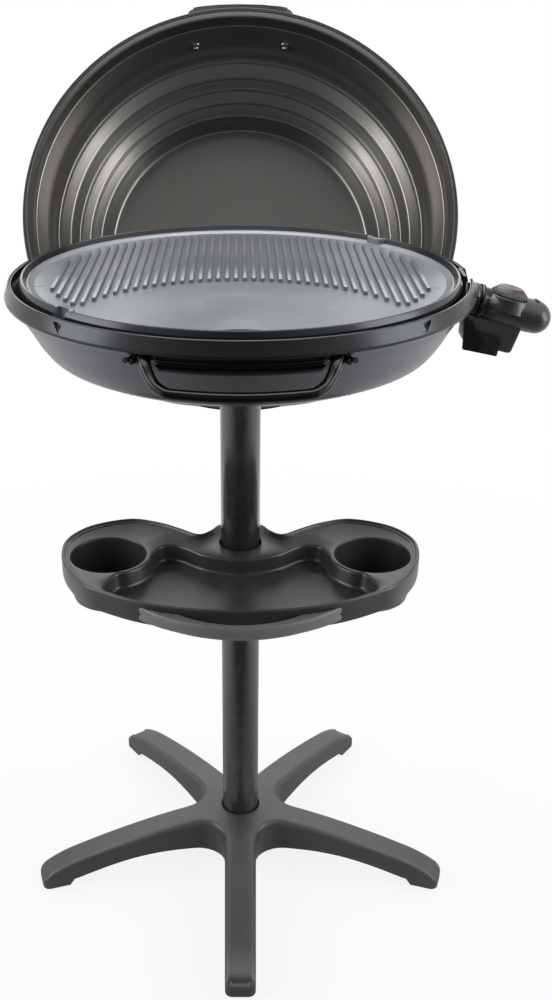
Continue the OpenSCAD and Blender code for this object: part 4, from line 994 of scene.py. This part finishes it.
controlSizes = {
    "place": (268, 0, 824.2), "tilt": 14, "frontX": 34, "frontLong": 16.2, "endX": 107.5, "halfWide": 27,
    "halfHigh": 19.5, "neck": 21.5, "neckLong": 24, "dialX": 51, "dialZ": 17.6, "dialR": 23.5, "dialHigh": 12,
    "lensX": 83, "lensZ": 8, "lensR": 5, "lensTilt": 30,
    "cap": ((3, 0), (3.4, 0.3), (6, 1.0), (11, 1.6), (12, 1.0), (12, 0)),  # along the neck, out from it
    "capStep": 4.3, "capSteps": 29, "seamWide": 0.51, "seamLow": 0.86, "seamSteps": 20}
controlPlace = shifted(*controlSizes["place"]) @ turned(controlSizes["tilt"], "Y")
alongX = turned(90, "Y")


def controlPiece(name, mesh, body, looks, replaced=(), sharp=40):
    move(mesh, controlPlace)
    makePiece(name, mesh, body, looks, replaced, sharp)


def buildHousing(s):
    mesh = bmesh.new()
    frontX, backX = s["frontX"], s["endX"] - s["halfHigh"]
    nose = [pi / 2 * k / 12 for k in range(13)]
    tail = [pi / 2 * k / 16 for k in range(17)]
    stations = [(frontX - s["frontLong"] * cos(a), sin(a)) for a in nose]
    stations += [(frontX + (backX - frontX) * k / 9, 1) for k in range(1, 9)]
    stations += [(backX + s["halfHigh"] * sin(a), cos(a)) for a in tail]
    angles = [0, 1.3, 4, *range(10, 171, 8), 176, 178.7, 180, 181.3, 184, *range(190, 351, 8), 356, 358.7]
    rings = []
    for x, grow in stations:
        grow = max(grow, 0.02)
        ring = []
        for a in angles:
            c, w = cos(radians(a)), sin(radians(a))
            dent = 0.985 if a in (0, 180) else 1
            ring.append(Vector((x, c * s["halfWide"] * grow * dent, w * s["halfHigh"] * grow)))
        rings.append(ring)
    solidLoft(mesh, rings)
    cone = roundOff([(30, 2, 0), (28.3, 7, 4), (24.9, 16.6, 1.2), (24.0, 17.4, 0.5), (23.4, 17.2, 0),
                     (0, 17.2, 0)], 4)
    spin(mesh, [(0, 2)] + cone, 96, shifted(s["dialX"], 0, 0))
    controlPiece("controlHousing", mesh, "control", "control",
                 ["control_housing_top", "control_housing_bottom"])
    neck = bmesh.new()
    r = s["neck"]
    tube = roundOff([(r - 3, 0, 0), (r - 0.9, 0.2, 0.8), (r, 2.2, 1), (r, 12.8, 0.8), (r - 1.1, 13.6, 0.3),
                     (r - 1.1, 14.4, 0.3), (r + 1.4, 15.2, 1), (r + 1.6, 19.4, 1.2), (r - 1.0, 20.6, 0.6),
                     (r - 1.6, s["neckLong"] + 6, 0), (r - 3, s["neckLong"] + 6, 0)], 3)
    spin(neck, tube, 96, alongX)
    controlPiece("controlNeck", neck, "control", "neck")
    cap = bmesh.new()
    arch = [radians(90 + (k - s["capSteps"] // 2) * s["capStep"]) for k in range(s["capSteps"])]
    solidLoft(cap, [[Vector((x, (r + out - 0.2) * cos(a), (r + out - 0.2) * sin(a)))
                     for x, out in s["cap"]] for a in arch])
    controlPiece("neckCap", cap, "control", "control")
    seam = bmesh.new()
    for sign in (-1, 1):
        y, z = sign * s["halfWide"] * s["seamWide"], -s["halfHigh"] * s["seamLow"]
        path = [Vector((frontX + (backX - frontX) * k / s["seamSteps"] - 6, y, z))
                for k in range(s["seamSteps"] + 1)]
        sweep(seam, path, oval(0.5, 0.5, 2, 8))
    controlPiece("housingSeams", seam, "control", "cover")


buildHousing(controlSizes)

boxSizes = {"view": [(3, -12, 0), (11, -47, 5), (71, -47, 5), (74, -12, 0)], "half": 18, "bevel": 2.0,
            "cover": [(2.6, -16.7, 1), (12, -54.5, 1.5), (55, -53, 2), (53.4, -35, 2), (52, -32, 2),
                      (49, -30.4, 3), (24, -28, 8), (19, -26, 5), (14, -19, 4), (10, -16.7, 1)],
            "coverThick": 4}


def buildBox(s):
    upright = turned(90, "X")
    mesh = bmesh.new()
    slab(mesh, closedRound(s["view"]), -s["half"], s["half"], s["bevel"], upright)
    controlPiece("controlBox", mesh, "control", "box", ["control_box"])
    cover = bmesh.new()
    slab(cover, closedRound(s["cover"]), s["half"] + 0.1, s["half"] + 0.1 + s["coverThick"], 0.8, upright)
    controlPiece("boxCover", cover, "control", "cover", ["box_cover"])


buildBox(boxSizes)

dialSizes = {"teeth": 48, "toothDeep": 0.9, "topR": 14.4, "low": 1.8, "tickCount": 11, "tickR": 17.2,
             "tickHigh": 7.3, "tickHalf": 2.4, "tickWide": 0.5, "tickTilt": 40, "figure": 3.8,
             "figureR": 9.4, "figures": 5, "figureSteps": 2.5, "redFrom": 5.5, "redTo": 12.8, "redStart": 30,
             "redStep": 5, "start": 200, "step": -20}


def buildDial(s, c):
    mesh = bmesh.new()
    top, r = c["dialHigh"] - s["low"], c["dialR"]
    flat = s["topR"]
    shape = [(r - 1.2, 0.0, 0.2), (r - 0.3, 0.6, 0.6), (r - 0.3, 1.6, 1), (r - 3.2, 4.6, 0.8),
             (r - 5, 6.2, 0), (flat + 0.4, top - 0.9, 0), (flat - 0.4, top - 0.3, 0), (flat - 1.4, top, 0),
             (2.6, top, 0), (2.2, top - 0.4, 0)]
    steps = s["teeth"] * 4
    deep = [s["toothDeep"] if k % 4 in (0, 1) else 0 for k in range(steps)]
    solidLoft(mesh, [[onRing(radius - deep[k] * tooth, 2 * pi * k / steps, z) for k in range(steps)]
                     for radius, z, tooth in shape])
    place = shifted(c["dialX"], 0, c["dialZ"])
    move(mesh, place)
    controlPiece("heatDial", mesh, "dial", "dial", ["dial"], 30)
    face = top + 0.02
    marks = bmesh.new()
    for k in range(s["tickCount"]):
        turn = turned(s["start"] + s["step"] * k)
        lean = shifted(s["tickR"], 0, s["tickHigh"]) @ turned(s["tickTilt"], "Y")
        block(marks, (-s["tickHalf"], -s["tickWide"], -0.3), (s["tickHalf"], s["tickWide"], 0.15), 0,
              place @ turn @ lean)
    for k in range(s["figures"]):
        a = s["start"] + s["step"] * s["figureSteps"] * k
        curve = bpy.data.curves.new("figure", "FONT")
        curve.body, curve.size, curve.extrude = str(k + 1), s["figure"], 0.06
        curve.align_x, curve.align_y = "CENTER", "CENTER"
        holder = newObject("figure", curve)
        bpy.context.view_layer.update()
        data = bpy.data.meshes.new_from_object(holder.evaluated_get(bpy.context.evaluated_depsgraph_get()))
        data.transform(place @ turned(a) @ shifted(s["figureR"], 0, face + 0.14) @ turned(-90))
        marks.from_mesh(data)
        bpy.data.objects.remove(holder)
    controlPiece("dialMarks", marks, "dial", "mark")
    red = bmesh.new()
    turns = [radians(s["start"] + s["redStart"] + s["redStep"] * k) for k in range(25)]
    arc = [onRing(s["redTo"], a, 0) for a in turns] + [onRing(s["redFrom"], a, 0) for a in turns[::-1]]
    slab(red, arc, face - 0.1, face + 0.1, place=place)
    controlPiece("dialHeatArc", red, "dial", "redMark")


buildDial(dialSizes, controlSizes)


def buildLens(s):
    place = shifted(s["lensX"], 0, s["lensZ"]) @ turned(s["lensTilt"], "Y")
    mesh = bmesh.new()
    r = s["lensR"]
    dome = roundOff([(r - 0.2, 6, 0), (r - 0.2, 11.6, 1.6), (2.4, 13.2, 2), (0, 13.5, 0)], 5)
    spin(mesh, [(0, 6)] + dome, 48, place)
    controlPiece("indicatorLens", mesh, "control", "lens", ["indicator_lens"])
    bezel = bmesh.new()
    ring = roundOff([(r, 8, 0), (r, 12.2, 0.3), (r + 0.8, 12.6, 0.4), (r + 2.0, 11.6, 0.6),
                     (r + 2.2, 8, 0)], 3)
    spin(bezel, ring, 48, place)
    controlPiece("lensBezel", bezel, "control", "neck")


buildLens(controlSizes)
print("heat control built")

# solids that keep their own shape

keptFinishes = {
    "rubber": "foot_pads", "tray": "drip_tray", "element": "heating_element", "handle": "handle_screws",
    "steel": "base_bolt base_washer tube_coupler rail_pins collar_screws collar_clamp_bolt socket_screws "
             "bracket_rivets hinge_pins element_clips terminal_prongs probe_tube ear_rivets probe_rod "
             "dial_shaft",
    "hinge": "tube_plug shelf_collar bowl_socket hinge_bracket_left hinge_bracket_right terminal_block "
             "lid_ear_left lid_ear_right",
    "switch": "thermostat_switch indicator_lamp", "brass": "contact_sleeves", "cover": "cord_gland"}


def dressSolids(plan):
    for look, solids in plan.items():
        for solid in solids.split():
            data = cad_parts[solid].data
            data.materials.clear()
            data.materials.append(finish[look])
    print("solids dressed:", sum(len(solids.split()) for solids in plan.values()))


dressSolids(keptFinishes)

# floor, light and camera

studio = {
    "floorRadius": 7.0, "fadeFrom": 0.75, "fadeTo": 1.5, "floorTone": 0.82, "floorRough": 0.9, "fill": 0.26,
    "floorDark": (-0.6, 1.1), "worldDark": (-0.6, 0.7), "darkest": 0.03, "brightest": 0.9,
    "overhead": 3.0, "overheadFrom": 0.84, "overheadTo": 0.95}


def sideShade(tree, axes, reach, s):  # darker towards the front, lighter to the sides and the back
    around = calc(tree, "ADD", calc(tree, "ABSOLUTE", axes.outputs["X"]),
                  calc(tree, "MULTIPLY", axes.outputs["Y"], 0.9))
    return remap(tree, around, *reach, s["darkest"], s["brightest"])


def buildFloor(s):
    mesh = bmesh.new()
    bmesh.ops.create_circle(mesh, cap_ends=True, segments=96, radius=s["floorRadius"] / toMetres)
    floor = newObject("studioFloor", asData("floor", mesh))
    material, tree, shader = newMaterial("paleFloor")
    shader.inputs["Base Color"].default_value = (*grey(s["floorTone"]), 1)
    shader.inputs["Roughness"].default_value = s["floorRough"]
    place = node(tree, "ShaderNodeTexCoord")
    away = node(tree, "ShaderNodeVectorMath", {0: place.outputs["Object"]}, operation="LENGTH")
    fade = remap(tree, away.outputs["Value"], s["fadeFrom"], s["fadeTo"], 0.86, 1.0)
    ray = node(tree, "ShaderNodeLightPath")
    camera, glossy, through = (ray.outputs[f"Is {kind} Ray"] for kind in ("Camera", "Glossy", "Transmission"))
    seen = calc(tree, "MAXIMUM", camera, calc(tree, "MAXIMUM", glossy, through))
    axes = node(tree, "ShaderNodeSeparateXYZ", {0: place.outputs["Object"]})
    level = mixValue(tree, camera, sideShade(tree, axes, s["floorDark"], s), 1.0)
    white = node(tree, "ShaderNodeEmission", {"Color": (1, 1, 1), "Strength": level})
    share = calc(tree, "MAXIMUM", calc(tree, "MULTIPLY", seen, fade), glossy)
    blend = node(tree, "ShaderNodeMixShader", {0: share, 1: shader.outputs[0], 2: white.outputs[0]})
    tree.links.new(blend.outputs[0], tree.nodes["Material Output"].inputs["Surface"])
    floor.data.materials.append(material)


def buildWorld(s):
    world = bpy.data.worlds.new("paleStudio")
    bpy.context.scene.world = world
    world.use_nodes = True
    tree = world.node_tree
    back = tree.nodes["Background"]
    ray = node(tree, "ShaderNodeLightPath")
    place = node(tree, "ShaderNodeTexCoord")
    axes = node(tree, "ShaderNodeSeparateXYZ", {0: place.outputs["Generated"]})
    high = remap(tree, axes.outputs["Z"], s["overheadFrom"], s["overheadTo"], 0.0, s["overhead"])
    glossy = calc(tree, "ADD", sideShade(tree, axes, s["worldDark"], s), high)
    bent = calc(tree, "MAXIMUM", ray.outputs["Is Glossy Ray"], ray.outputs["Is Transmission Ray"])
    level = mixValue(tree, bent, s["fill"], glossy)
    back.inputs["Color"].default_value = (1, 1, 1, 1)
    tree.links.new(mixValue(tree, ray.outputs["Is Camera Ray"], level, 1.0), back.inputs["Strength"])


softBoxes = {  # place, what it looks at, width and height in metres, watts
    "leftBox": ((-2.3, -0.5, 1.5), (0, 0, 0.7), 1.4, 2.2, 42),
    "rightBox": ((2.3, -0.5, 1.5), (0, 0, 0.7), 1.4, 2.2, 42),
    "topBox": ((0, 1.1, 2.7), (0, 0, 0.7), 2.4, 1.2, 30),
    "frontBox": ((0, -3.0, 1.0), (0, 0, 0.6), 2.6, 1.6, 2.5),
    "backBox": ((0, 2.4, 1.9), (0, 0, 0.8), 2.4, 1.2, 16)}


def softBox(name, place, target, wide, tall, watts):
    lamp = bpy.data.lights.new(name, "AREA")
    lamp.shape, lamp.size, lamp.size_y, lamp.energy = "RECTANGLE", wide, tall, watts
    holder = newObject(name, lamp)
    holder.location = place
    holder.rotation_euler = (Vector(target) - Vector(place)).to_track_quat("-Z", "Y").to_euler()


cameraSizes = {"lens": 41.742, "sensor": 36, "shift": 0.0356, "place": (0, -1.3616, 1.1872), "pitch": 65.25}


def buildCamera(s):
    lens = bpy.data.cameras.new("view")
    lens.lens, lens.sensor_width, lens.sensor_fit = s["lens"], s["sensor"], "AUTO"
    lens.shift_x = s["shift"]
    holder = newObject("view", lens)
    holder.location = s["place"]
    holder.rotation_euler = (radians(s["pitch"]), 0, 0)
    bpy.context.scene.camera = holder


buildFloor(studio)
buildWorld(studio)
for boxName, box in softBoxes.items():
    softBox(boxName, *box)
buildCamera(cameraSizes)
bpy.context.scene.view_settings.view_transform = "Standard"
print("studio ready")
